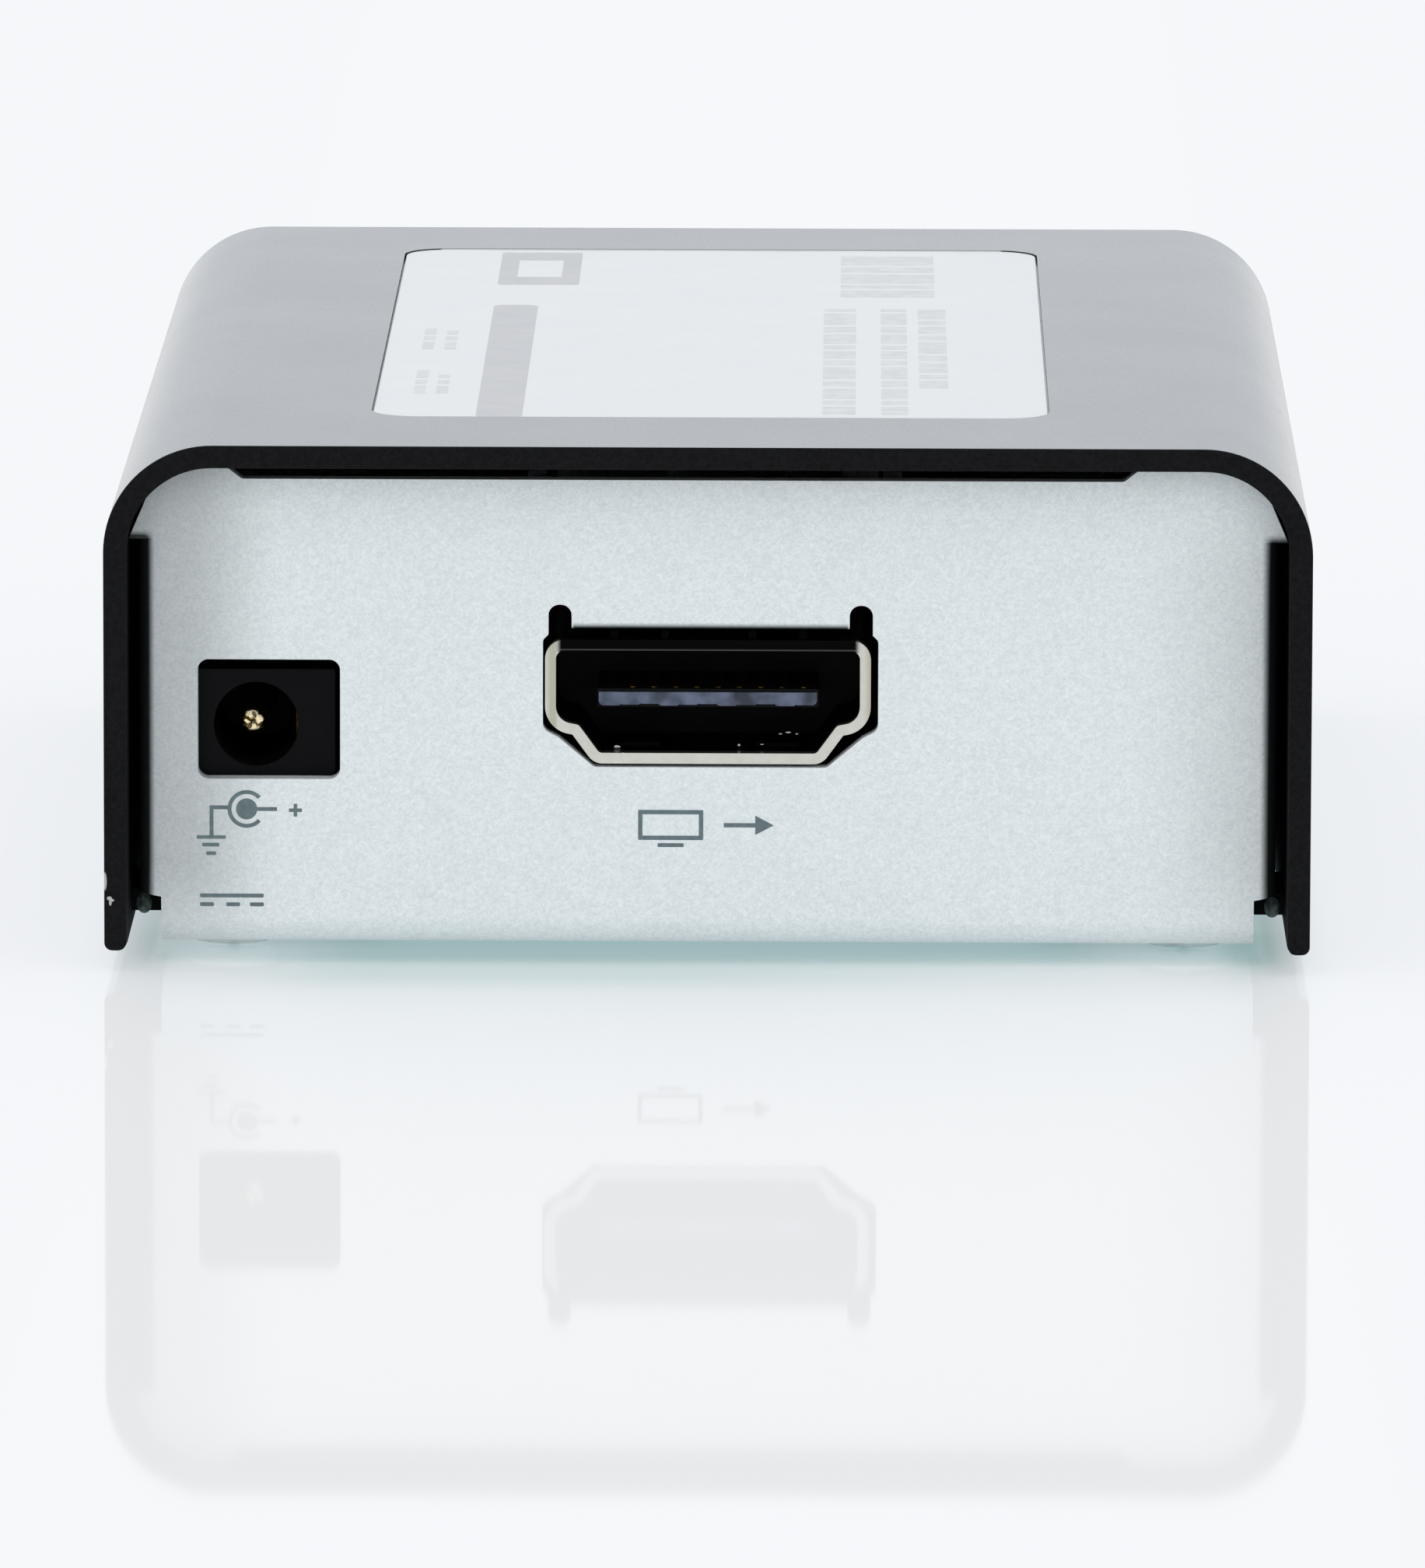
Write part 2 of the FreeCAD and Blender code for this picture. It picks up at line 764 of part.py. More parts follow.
def socket_window():
    """Outline of the opening for the video socket, with a slot up each end for its springs."""
    half = cell.SocketWidth / 2 + cell.SocketRimWall + cell.WindowSideGap
    middle = cell.WindowOffset
    bottom = socket_bottom - cell.SocketRimWall - cell.WindowBottomGap
    top = socket_bottom + cell.SocketHeight + cell.SocketRimWall + cell.WindowTopGap
    slot_top = top + cell.WindowSlotHeight
    slot_near = cell.WindowSlotSpacing / 2 - cell.WindowSlotWidth / 2
    slot_far = cell.WindowSlotSpacing / 2 + cell.WindowSlotWidth / 2
    shoulder = socket_bottom + cell.SocketShoulderHeight
    foot = cell.SocketWidth / 2 - cell.SocketBottomInset + cell.WindowFootGap
    bend = half - cell.WindowShoulderInset
    soft = cell.OutlineRadius
    rim = cell.WindowSlotRadius
    right = [
        (foot, bottom, soft),
        (bend, shoulder - cell.WindowShoulderDrop, soft),
        (half, shoulder - cell.SocketShoulderDrop, rim),
        (half, top - cell.WindowTopGap, soft),
        (slot_far, top - cell.WindowTopGap / 2),
        (slot_far, slot_top, rim),
        (slot_near, slot_top, rim),
        (slot_near, top),
    ]
    left = mirrored(right)[::-1]
    return [(corner[0] + middle, *corner[1:]) for corner in right + left]


def make_tray():
    """Floor, two end panels with ears, and side flanges, folded from one sheet."""
    body = new_body("chassis_tray")
    right = ear_corners(cell.RightEarFlat)
    left = mirrored(ear_corners(cell.LeftEarFlat))[::-1]
    solid = pad(body, "XZ", 0, [right + left], panel_face * 2, side="Symmetric")
    rims = edges_at(solid, 2, [(x * panel_side, y * panel_face) for x, y in CORNERS])
    rolled = dress(body, "Fillet", solid, rims, cell.PanelEdgeRadius)
    folds = edges_at(rolled, 0, [(side * panel_face, base) for side in SIGNS])
    dress(body, "Fillet", rolled, folds, cell.BendRadius + cell.TraySheet)
    inner = [
        (-panel_inside, floor_top, cell.BendRadius),
        (panel_inside, floor_top, cell.BendRadius),
        (panel_inside, cover_top),
        (-panel_inside, cover_top),
    ]
    pad(body, "YZ", 0, [inner], cell.CoverWidth, side="Symmetric", pocket=True)

    root = floor_side - cell.TraySheet
    outside_bend = cell.BendRadius + cell.TraySheet
    flange = [
        (root, base),
        (flange_outside, base, outside_bend),
        (flange_outside, base + cell.FlangeHeight),
        (flange_inside, base + cell.FlangeHeight),
        (flange_inside, floor_top, cell.BendRadius),
        (root, floor_top),
    ]
    pad(body, "XZ", 0, [flange, mirrored(flange)], flange_end * 2, side="Symmetric")

    options = {"reverse": True, "pocket": True}
    hole = cell.CoverScrewRadius + cell.ScrewGap
    pad_circles(body, "XY", base, tab_screws, hole, cell.TraySheet, **options)

    depth = cell.TraySheet + cell.JoinDepth
    pad(body, "XZ", -panel_face, [socket_window()], depth, pocket=True)
    inset = cell.JackOpeningInset
    jack_low = (jack_x - cell.JackWidth / 2 + inset, board_top + inset)
    jack_high = (
        jack_x + cell.JackWidth / 2 + cell.JackOpeningSideGap,
        board_top + cell.JackHeight + cell.JackOpeningTopGap,
    )
    opening = rectangle(jack_low, jack_high, cell.JackOpeningRadius)
    pad(body, "XZ", -panel_face, [opening], depth, pocket=True)
    gap = cell.NetOpeningGap
    net_low = (-cell.NetWidth / 2 - gap, board_top - gap)
    net_high = (cell.NetWidth / 2 + gap, net_top + gap)
    net_opening = rectangle(net_low, net_high)
    pad(body, "XZ", panel_inside - cell.JoinDepth, [net_opening], depth * 2, pocket=True)
    finished(body, "chassis_tray")


def make_rubber_feet():
    """Four square feet stuck under the floor, with their corners cut off."""
    body = new_body("rubber_feet")
    outlines = []
    for across, along in CORNERS:
        middle = (foot_x * across, foot_y * along)
        outlines.append(cut_square(middle, cell.FootSide / 2, cell.FootCorner))
    pad(body, "XY", 0, outlines, cell.FootHeight)
    finished(body, "rubber_feet")


def make_cover_screws():
    """Thin-headed screws up through the floor into the cover's tabs."""
    body = new_body("cover_screws")
    options = {"reverse": True}
    height = cell.CoverScrewHeadHeight
    pad_circles(body, "XY", base, tab_screws, cell.CoverScrewHeadRadius, height, **options)
    pad_circles(body, "XY", base, tab_screws, cell.CoverScrewRadius, cell.CoverScrewLength)
    finished(body, "cover_screws")


# The circuit board and what holds it


def make_standoffs():
    """Hexagonal pillars pressed into the floor, bored for the board's screws."""
    body = new_body("board_standoffs")
    for x, y in board_holes:
        pillar = body.newObject("PartDesign::AdditivePrism", "pillar")
        pillar.Polygon = PILLAR_SIDE_COUNT
        bind(pillar, "Circumradius", cell.StandoffRadius)
        bind(pillar, "Height", cell.StandoffHeight)
        set_place(pillar, x, y, floor_top)
    bore = cell.BoardScrewRadius + cell.ThreadGap
    options = {"reverse": True, "pocket": True}
    pad_circles(body, "XY", floor_top, board_holes, bore, cell.StandoffHeight, **options)
    finished(body, "board_standoffs")


def make_board_screws():
    """Cheese-headed screws that hold the board on its standoffs."""
    body = new_body("board_screws")
    radius = cell.BoardScrewHeadRadius
    pad_circles(body, "XY", board_top, board_holes, radius, cell.BoardScrewHeadHeight)
    options = {"reverse": True}
    radius = cell.BoardScrewRadius
    pad_circles(body, "XY", board_top, board_holes, radius, cell.BoardScrewLength, **options)
    finished(body, "board_screws")


def make_insulating_film():
    """Plastic film on the floor, with a square hole round each standoff."""
    body = new_body("insulating_film")
    side = flange_inside - cell.FilmGap
    end = tab_centre - cell.TabWidth / 2 - cell.FilmGap
    hole = cell.StandoffRadius + cell.FilmGap
    outlines = [rectangle((-side, -end), (side, end))]
    for x, y in board_holes:
        outlines.append(rectangle((x - hole, y - hole), (x + hole, y + hole)))
    pad(body, "XY", floor_top, outlines, cell.FilmThickness)
    finished(body, "insulating_film")


def leg_slots():
    """Low and high corners of every leg and tag that passes through the board."""
    slots = []
    for low_x, high_x in side_walls(cell.SocketWidth / 2 + cell.SocketWall, cell.SocketWall):
        for y in socket_leg_rows:
            slots.append(((low_x, y), (high_x, y + cell.SocketLegWidth)))
    half_tag = cell.JackTagWidth / 2
    slots.append(((jack_pin_x - half_tag, jack_rear), (jack_pin_x + half_tag, jack_tag_rear)))
    spring_x = jack_bore_x + cell.JackSpringSeat
    spring_low = (spring_x - cell.JackSpringThickness, jack_spring_rear - cell.JackTagWidth)
    slots.append((spring_low, (spring_x, jack_spring_rear)))
    for low_x, high_x in side_walls(cell.NetWidth / 2, cell.NetShieldWall):
        slots.append(((low_x, net_leg_y), (high_x, net_leg_y + cell.NetLegWidth)))
    half_tail = cell.NetContactWidth / 2
    for index in range(NET_CONTACTS):
        x = net_first_contact + cell.NetContactPitch * index
        low = (x - half_tail, net_tail_y - cell.NetContactThickness / 2)
        slots.append((low, (x + half_tail, net_tail_y + cell.NetContactThickness / 2)))
    return slots


def make_board():
    """Circuit board with screw holes, and slots for the legs and tails of the sockets."""
    body = new_body("circuit_board")
    gap = cell.LegGap
    outlines = [rectangle((-board_side, board_front), (board_side, -board_front))]
    for low, high in leg_slots():
        outlines.append(rectangle((low[0] - gap, low[1] - gap), (high[0] + gap, high[1] + gap)))
    pad(body, "XY", board_under, outlines, cell.BoardThickness)
    options = {"reverse": True, "pocket": True}
    holes = cell.BoardHoleRadius
    pad_circles(body, "XY", board_under, board_holes, holes, cell.BoardThickness, **options)
    finished(body, "circuit_board")


# The video socket


def socket_profile():
    """Outline of the socket's mouth: square above, narrower below two shoulders."""
    half = cell.SocketWidth / 2
    top = socket_bottom + cell.SocketHeight
    shoulder = socket_bottom + cell.SocketShoulderHeight
    small = cell.OutlineRadius
    right = [
        (half - cell.SocketBottomInset, socket_bottom, small),
        (half - cell.SocketShoulderInset, shoulder, small),
        (half, shoulder + cell.SocketShoulderDrop, cell.SocketSideRadius),
        (half, top, cell.SocketTopRadius),
    ]
    return right + mirrored(right)[::-1]


def tube_round(name, sketch, wall, length):
    """A straight tube of even wall round the socket's outline."""
    ring = document.addObject("Part::Offset2D", f"{name}_ring")
    ring.Source = sketch
    ring.Fill = True
    bind(ring, "Value", wall)
    tube = document.addObject("Part::Extrusion", f"{name}_tube")
    tube.Base = ring
    tube.DirMode = "Custom"
    tube.Dir = Vector(0, 1, 0)
    tube.Solid = True
    bind(tube, "LengthFwd", length)
    return tube


def spring_windows():
    """Openings (across, along) in the top and the bottom of the shell, one round each spring."""
    half = cell.SocketSpringWidth / 2 + cell.SocketSpringSlit
    front = socket_front + cell.SocketSpringFront
    rear = front + cell.SocketSpringLength
    windows = []
    for side in SIGNS:
        middle = cell.SocketSpringSpacing / 2 * side
        windows.append(rectangle((middle - half, front), (middle + half, rear)))
    return windows


def add_springs(body, inner, outer, inward):
    """Two leaves cut free of a plate of the shell, bent inwards and curled up at their ends."""
    root = socket_front + cell.SocketSpringFront + cell.SocketSpringLength
    crest = root - cell.SocketSpringLength + cell.SocketSpringCrest
    tip = root - cell.SocketSpringLength + cell.SocketSpringSlit
    reach = cell.SocketSpringReach * inward
    leaf = [
        (root + cell.JoinDepth, inner),
        (root, inner),
        (crest, inner + reach),
        (tip, inner + reach / 2),
        (tip, outer + reach / 2),
        (crest, outer + reach),
        (root, outer),
        (root + cell.JoinDepth, outer),
    ]
    width = cell.SocketSpringWidth
    low_x = -cell.SocketSpringSpacing / 2 - width / 2
    pair = pad(body, "YZ", low_x, [leaf], width)
    repeat(body, [pair], cell.SocketSpringSpacing, 2)


def make_socket_shell():
    """Folded metal shell with a thick rim, springs top and bottom, and legs through the board."""
    sketch = document.addObject("Sketcher::SketchObject", "socket_mouth")
    sketch.Placement = Placement(Vector(), Rotation(Vector(1, 0, 0), 90))
    bind(sketch, "Placement.Base.y", socket_front)
    draw_outline(sketch, socket_profile())
    document.recompute()
    tube = tube_round("shell", sketch, cell.SocketWall, cell.SocketLength)
    rim = tube_round("rim", sketch, cell.SocketRimWall, cell.SocketRimDepth)
    legs = new_body("socket_legs")
    shoulder = socket_bottom + cell.SocketShoulderHeight + cell.SocketShoulderDrop
    leg_top = shoulder + cell.SocketSideRadius
    for low_x, high_x in side_walls(cell.SocketWidth / 2 + cell.SocketWall, cell.SocketWall):
        for y in socket_leg_rows:
            low = (low_x, y, leg_end)
            add_box(legs, low, (high_x, y + cell.SocketLegWidth, leg_top))
    openings = new_body("spring_openings")
    height = cell.SocketHeight + cell.SocketWall * 2
    pad(openings, "XY", socket_bottom - cell.SocketWall, spring_windows(), height)
    folded = document.addObject("Part::MultiFuse", "shell_folded")
    folded.Shapes = [tube, rim, legs]
    cut = cut_from("shell", folded, [openings])
    top = socket_bottom + cell.SocketHeight
    upper_springs = new_body("upper_springs")
    add_springs(upper_springs, top, top + cell.SocketWall, -1)
    lower_springs = new_body("lower_springs")
    add_springs(lower_springs, socket_bottom, socket_bottom - cell.SocketWall, 1)
    shell = document.addObject("Part::MultiFuse", "shell_sprung")
    shell.Shapes = [cut, upper_springs, lower_springs]
    finished(shell, "video_socket_shell")


def make_video_contacts(name, count, level, face, tail_y):
    """A row of flat contacts let into one face of the tongue, bent down to the board."""
    body = new_body(name)
    thick = cell.VideoContactThickness
    front = tongue_front + cell.VideoContactSetback
    width = cell.VideoContactWidth
    first = cell.VideoContactPitch * (count - 1) / 2
    low = level - thick if face > 0 else level
    outline = [
        (front, low),
        (front, low + thick),
        (tail_y + thick, low + thick),
        (tail_y + thick, board_top),
        (tail_y, board_top),
        (tail_y, low),
    ]
    strip = pad(body, "YZ", -first - width / 2, [outline], width)
    repeat(body, [strip], cell.VideoContactPitch, count)
    return finished(body, name)


def make_video_socket():
    """Insulator with its tongue, and the two rows of contacts that it holds."""
    upper_tail = socket_block_rear + cell.VideoTailSpacing
    lower_tail = socket_block_rear + cell.VideoContactThickness / 2
    upper = make_video_contacts(
        "video_socket_upper_contacts", UPPER_VIDEO_CONTACTS, tongue_top, 1, upper_tail
    )
    lower = make_video_contacts(
        "video_socket_lower_contacts", LOWER_VIDEO_CONTACTS, tongue_bottom, -1, lower_tail
    )
    body = new_body("socket_insulator")
    length = socket_block_rear - socket_block_front
    pad(body, "XZ", socket_block_front, [socket_profile()], length, reverse=True)
    half = cell.TongueWidth / 2
    low = (-half, tongue_front, tongue_bottom)
    add_box(body, low, (half, socket_block_front + cell.JoinDepth, tongue_top))
    finished(cut_from("socket_insulator", body, [upper, lower]), "video_socket_insulator")


# The power jack


def make_power_jack():
    """Moulded jack body bored off centre, with its centre pin, leaf spring and solder tags."""
    pin = new_body("power_jack_pin")
    tip = jack_front + cell.JackPinSetback
    start = (jack_pin_x, tip, jack_axis)
    rod = add_cylinder(pin, start, cell.JackPinRadius, jack_bore_end - tip, FACING_BACK)
    dress(pin, "Chamfer", rod, circles_at(rod, 1, tip, cell.JackPinRadius), cell.JackPinChamfer)
    shank = (jack_pin_x, jack_bore_end, jack_axis)
    length = jack_tag_rear - jack_bore_end
    add_cylinder(pin, shank, cell.JackPinShankRadius, length, FACING_BACK)
    finished(pin, "power_jack_pin")

    tag = new_body("power_jack_pin_tag")
    half = cell.JackTagWidth / 2
    low = (jack_pin_x - half, jack_rear, leg_end)
    add_box(tag, low, (jack_pin_x + half, jack_tag_rear, jack_axis + half))
    bore = cell.JackPinShankRadius + cell.JackPinFit
    shank = (jack_pin_x, jack_bore_end, jack_axis)
    add_cylinder(tag, shank, bore, cell.JackLength, FACING_BACK, cut=True)
    finished(tag, "power_jack_pin_tag")

    spring = new_body("power_jack_leaf_spring")
    thick = cell.JackSpringThickness
    seat = jack_bore_x + cell.JackSpringSeat
    bulge = jack_bore_x + cell.JackSpringReach
    knee = jack_front + cell.JackSpringKnee
    crest = jack_front + cell.JackSpringCrest
    nose = jack_front + cell.JackSpringNose
    leaf = [(seat, jack_spring_rear), (seat, knee), (bulge + thick, crest)]
    leaf.append((bulge + thick + cell.JackSpringCurl, nose))
    outline = leaf + [(across - thick, along) for across, along in reversed(leaf)]
    half_leaf = cell.JackSpringWidth / 2
    pad(spring, "XY", jack_axis - half_leaf, [outline], cell.JackSpringWidth)
    low = (seat - thick, jack_spring_rear - cell.JackTagWidth, leg_end)
    add_box(spring, low, (seat, jack_spring_rear, jack_axis))
    finished(spring, "power_jack_leaf_spring")

    body = new_body("power_jack_housing")
    half_jack = cell.JackWidth / 2
    low = (jack_x - half_jack, jack_front, board_top)
    add_box(body, low, (jack_x + half_jack, jack_rear, board_top + cell.JackHeight))
    mouth = (jack_bore_x, jack_front, jack_axis)
    add_cylinder(body, mouth, cell.JackBoreRadius, cell.JackBoreDepth, FACING_BACK, cut=True)
    add_cylinder(body, shank, bore, cell.JackLength, FACING_BACK, cut=True)
    slot_half = cell.JackSlotHeight / 2
    gap = cell.LegGap / 2
    slot_low = (jack_bore_x, jack_front + cell.JackSlotFront, jack_axis - slot_half)
    slot_high = (seat + gap, jack_bore_end, jack_axis + slot_half)
    add_box(body, slot_low, slot_high, cut=True)
    leg_front = jack_spring_rear - cell.JackTagWidth - gap
    leg_low = (seat - thick - gap, leg_front, board_top - cell.CutOverrun)
    add_box(body, leg_low, (seat + gap, jack_spring_rear + gap, jack_axis), cut=True)
    finished(body, "power_jack_housing")


# The network jack


def net_cavity(gap):
    """Outline of the plug's way in: a wide mouth over the two steps of the latch's groove."""
    half = cell.NetCavityWidth / 2 + gap
    latch = cell.NetLatchWidth / 2 + gap
    key = cell.NetKeyWidth / 2 + gap
    floor = net_cavity_floor - gap
    step = floor - cell.NetLatchHeight
    bottom = step - cell.NetKeyHeight
    right = [(key, bottom), (key, step), (latch, step), (latch, floor), (half, floor)]
    right.append((half, net_cavity_top + gap))
    return right + mirrored(right)[::-1]


def lamp_windows(gap):
    """The two lamps' places in the upper corners of the jack's face."""
    windows = []
    for side in SIGNS:
        middle = cell.NetLampSpacing / 2 * side
        low = (middle - cell.NetLampWidth / 2 - gap, lamp_top - cell.NetLampHeight - gap)
        high = (middle + cell.NetLampWidth / 2 + gap, lamp_top + gap)
        windows.append(rectangle(low, high))
    return windows


def make_network_jack():
    """Metal shield, moulded insert with the plug's cavity, sprung contacts and two lamps."""
    contacts = new_body("network_jack_contacts")
    thick = cell.NetContactThickness
    width = cell.NetContactWidth
    run = net_cavity_top + cell.NetContactCover
    front = net_insert_front - cell.NetContactSetback
    end = front - cell.NetContactReach
    wire = [
        (net_tail_y - thick / 2, leg_end),
        (net_tail_y - thick / 2, run + thick),
        (front, run + thick),
        (front, run - thick / 2),
        (end, run - cell.NetContactDrop),
        (end, run - cell.NetContactDrop + thick),
        (front - cell.NetContactHeel, run),
        (net_tail_y + thick / 2, run),
        (net_tail_y + thick / 2, leg_end),
    ]
    wires = pad(contacts, "YZ", net_first_contact - width / 2, [wire], width)
    repeat(contacts, [wires], cell.NetContactPitch, NET_CONTACTS)
    finished(contacts, "network_jack_contacts")

    lamps = new_body("network_jack_lamps")
    lamp_rear = net_insert_front - cell.NetLampLength
    pad(lamps, "XZ", lamp_rear, lamp_windows(0), cell.NetLampLength, reverse=True)
    finished(lamps, "network_jack_lamps")

    insert = new_body("jack_insert")
    low = (-net_insert_half, net_insert_rear, board_top)
    add_box(insert, low, (net_insert_half, net_insert_front, net_insert_top))
    cavity_rear = net_insert_front - cell.NetCavityDepth
    depth = cell.NetCavityDepth + cell.CutOverrun
    pad(insert, "XZ", cavity_rear, [net_cavity(0)], depth, pocket=True)
    depth = cell.NetLampLength + cell.CutOverrun
    pad(insert, "XZ", lamp_rear, lamp_windows(0), depth, pocket=True)
    comb = cell.NetContactPitch * (NET_CONTACTS - 1) / 2 + width
    comb_low = (-comb, end - cell.NetCombGap, net_cavity_top - cell.NetCombDepth)
    comb_high = (comb, front + thick / 2, run)
    add_box(insert, comb_low, comb_high, cut=True)
    finished(cut_from("jack_insert", insert, [contacts]), "network_jack_insert")

    shield = new_body("network_jack_shield")
    half = cell.NetWidth / 2
    add_box(shield, (-half, net_rear, board_top), (half, net_face, net_top))
    inner = half - cell.NetShieldWall
    inner_low = (-inner, net_rear + cell.NetShieldWall, board_top - cell.CutOverrun)
    add_box(shield, inner_low, (inner, net_insert_front, net_top - cell.NetShieldWall), cut=True)
    windows = [net_cavity(cell.NetShieldGap)] + lamp_windows(cell.NetPlay)
    pad(shield, "XZ", net_insert_front, windows, cell.NetShieldWall, pocket=True)
    for low_x, high_x in side_walls(half, cell.NetShieldWall):
        leg_high = (high_x, net_leg_y + cell.NetLegWidth, board_top + cell.JoinDepth)
        add_box(shield, (low_x, net_leg_y, leg_end), leg_high)
    finished(shield, "network_jack_shield")


# Parts on the board


def make_heat_sink():
    """Comb of cooling fins on a square base."""
    body = new_body("receiver_heat_sink")
    fin_base = sink_bottom + cell.SinkBase
    fin_top = fin_base + cell.SinkFinHeight
    pitch = (sink_half * 2 - cell.SinkFin) / (SINK_FINS - 1)
    comb = [(sink_half, sink_bottom), (-sink_half, sink_bottom)]
    for index in range(SINK_FINS):
        left = pitch * index - sink_half
        right = left + cell.SinkFin
        comb += [(left, fin_top), (right, fin_top)]
        if index < SINK_FINS - 1:
            comb += [(right, fin_base), (left + pitch, fin_base)]
    pad(body, "XZ", sink_front, [comb], sink_rear - sink_front, reverse=True)
    finished(body, "receiver_heat_sink")


def standing(middle, sides, height, level=None):
    """Low and high corners of a block that stands on the board round a middle point."""
    foot = board_top if level is None else level
    low = (-sides[0] / 2 + middle[0], -sides[1] / 2 + middle[1], foot)
    high = (sides[0] / 2 + middle[0], sides[1] / 2 + middle[1], foot + height)
    return low, high


def make_processing_parts():
    """Receiver chip under its thermal pad, and the smaller chips and crystal."""
    chip = (cell.ChipSide, cell.ChipSide)
    block("receiver_chip", *standing((0, sink_y), chip, cell.ChipHeight), cell.ChipEdge)
    soft = (cell.PadSide, cell.PadSide)
    block("thermal_pad", *standing((0, sink_y), soft, cell.PadThickness, chip_top))
    make_heat_sink()
    driver = (cell.DriverSide, cell.DriverSide)
    lows_highs = standing((0, driver_y), driver, cell.DriverHeight)
    block("video_driver_chip", *lows_highs, cell.ChipEdge)
    crystal = (cell.CrystalLength, cell.CrystalWidth)
    crystal_y = supply_front + cell.CrystalGap + cell.CrystalWidth / 2
    lows_highs = standing((supply_x, crystal_y), crystal, cell.CrystalHeight)
    block("clock_crystal", *lows_highs, cell.CrystalChamfer)
    controller = (cell.ControllerSide, cell.ControllerSide)
    crystal_rear = crystal_y + cell.CrystalWidth / 2
    middle = (supply_x, crystal_rear + cell.ControllerGap + cell.ControllerSide / 2)
    lows_highs = standing(middle, controller, cell.ControllerHeight)
    block("controller_chip", *lows_highs, cell.ChipEdge)


def make_transformer():
    """Line transformer, raised on gull-wing leads along its two long sides."""
    body = new_body("line_transformer")
    sides = (cell.TransformerWidth, cell.TransformerDepth)
    foot = board_top + cell.TransformerStandoff
    low, high = standing((0, transformer_y), sides, cell.TransformerHeight, foot)
    box = add_box(body, low, high)
    rims = edges_at(box, 0, [(low[1], high[2]), (high[1], high[2])])
    rims += edges_at(box, 1, [(low[0], high[2]), (high[0], high[2])])
    dress(body, "Chamfer", box, rims, cell.TransformerChamfer)
    finished(body, "line_transformer")

    leads = new_body("line_transformer_leads")
    thick = cell.LeadThickness
    level = board_top + cell.LeadHeight
    outlines = []
    for side in SIGNS:
        root = transformer_y + cell.TransformerDepth / 2 * side
        bend = root + cell.LeadReach / 2 * side
        tip = root + cell.LeadReach * side
        inner_bend = bend - thick * side
        outlines.append([
            (root, level),
            (bend, level),
            (bend, board_top + thick),
            (tip, board_top + thick),
            (tip, board_top),
            (inner_bend, board_top),
            (inner_bend, level - thick),
            (root, level - thick),
        ])
    first = cell.LeadPitch * (TRANSFORMER_LEADS - 1) / 2
    row = pad(leads, "YZ", -first - cell.LeadWidth / 2, outlines, cell.LeadWidth)
    repeat(leads, [row], cell.LeadPitch, TRANSFORMER_LEADS)
    finished(leads, "line_transformer_leads")


def make_supply_parts():
    """Capacitors on their bases, storage inductor, regulator and a row of ceramic parts."""
    left = -supply_x
    front = supply_front + cell.SupplyFrontGap + cell.CapacitorBase / 2
    spots = [(left, front + cell.CapacitorSpacing * index) for index in range(2)]
    bases = new_body("capacitor_bases")
    outlines = []
    edge = cell.CapacitorBase / 2
    cut = cell.CapacitorBaseCut
    for x, y in spots:
        outlines.append([
            (x - edge, y - edge),
            (x + edge, y - edge),
            (x + edge, y + edge - cut),
            (x + edge - cut, y + edge),
            (x - edge + cut, y + edge),
            (x - edge, y + edge - cut),
        ])
    pad(bases, "XY", board_top, outlines, cell.CapacitorBaseHeight)
    finished(bases, "capacitor_bases")

    cans = new_body("supply_capacitors")
    foot = board_top + cell.CapacitorBaseHeight
    pad_circles(cans, "XY", foot, spots, cell.CapacitorRadius, cell.CapacitorHeight)
    finished(cans, "supply_capacitors")

    coil = (cell.InductorSide, cell.InductorSide)
    capacitor_rear = front + cell.CapacitorSpacing + cell.CapacitorBase / 2
    coil_y = capacitor_rear + cell.InductorGap + cell.InductorSide / 2
    lows_highs = standing((left, coil_y), coil, cell.InductorHeight)
    block("power_inductor", *lows_highs, cell.InductorChamfer)
    regulator = (cell.RegulatorSide, cell.RegulatorSide)
    middle = (-sink_half - cell.SinkSideGap / 2, coil_y - cell.RegulatorOffset)
    lows_highs = standing(middle, regulator, cell.RegulatorHeight)
    block("voltage_regulator", *lows_highs, cell.ChipEdge)

    ceramics = new_body("ceramic_parts")
    first = cell.DriverSide / 2 + cell.CeramicGap + cell.CeramicWidth / 2
    sides = (cell.CeramicWidth, cell.CeramicLength)
    low, high = standing((first, driver_y), sides, cell.CeramicHeight)
    part = add_box(ceramics, low, high)
    repeat(ceramics, [part], cell.CeramicPitch, CERAMIC_PARTS)
    finished(ceramics, "ceramic_parts")


def report_failures():
    """Names every object that failed and every piece that isn't a sound solid."""
    problems = []
    for item in document.Objects:
        if "Invalid" in item.State or "Error" in item.State:
            problems.append(f"{item.Name}: {item.State}")
    for piece in pieces:
        if piece.Shape.isNull() or not piece.Shape.isValid() or not piece.Shape.Solids:
            problems.append(f"{piece.Label}: shape")
    return problems


make_cover()
make_label_plate()
make_tray()
make_rubber_feet()
make_cover_screws()
make_standoffs()
make_board_screws()
make_insulating_film()
make_board()
make_socket_shell()
make_video_socket()
make_power_jack()
make_network_jack()
make_processing_parts()
make_transformer()
make_supply_parts()
document.recompute()

problems = report_failures()
if problems:
    raise RuntimeError("; ".join(problems))

os.makedirs("parts", exist_ok=True)
for piece in pieces:
    piece.Shape.exportStep(f"parts/{piece.Label}.step")
    print(piece.Label, len(piece.Shape.Solids), "solids", round(piece.Shape.Volume, 2), "mm3")
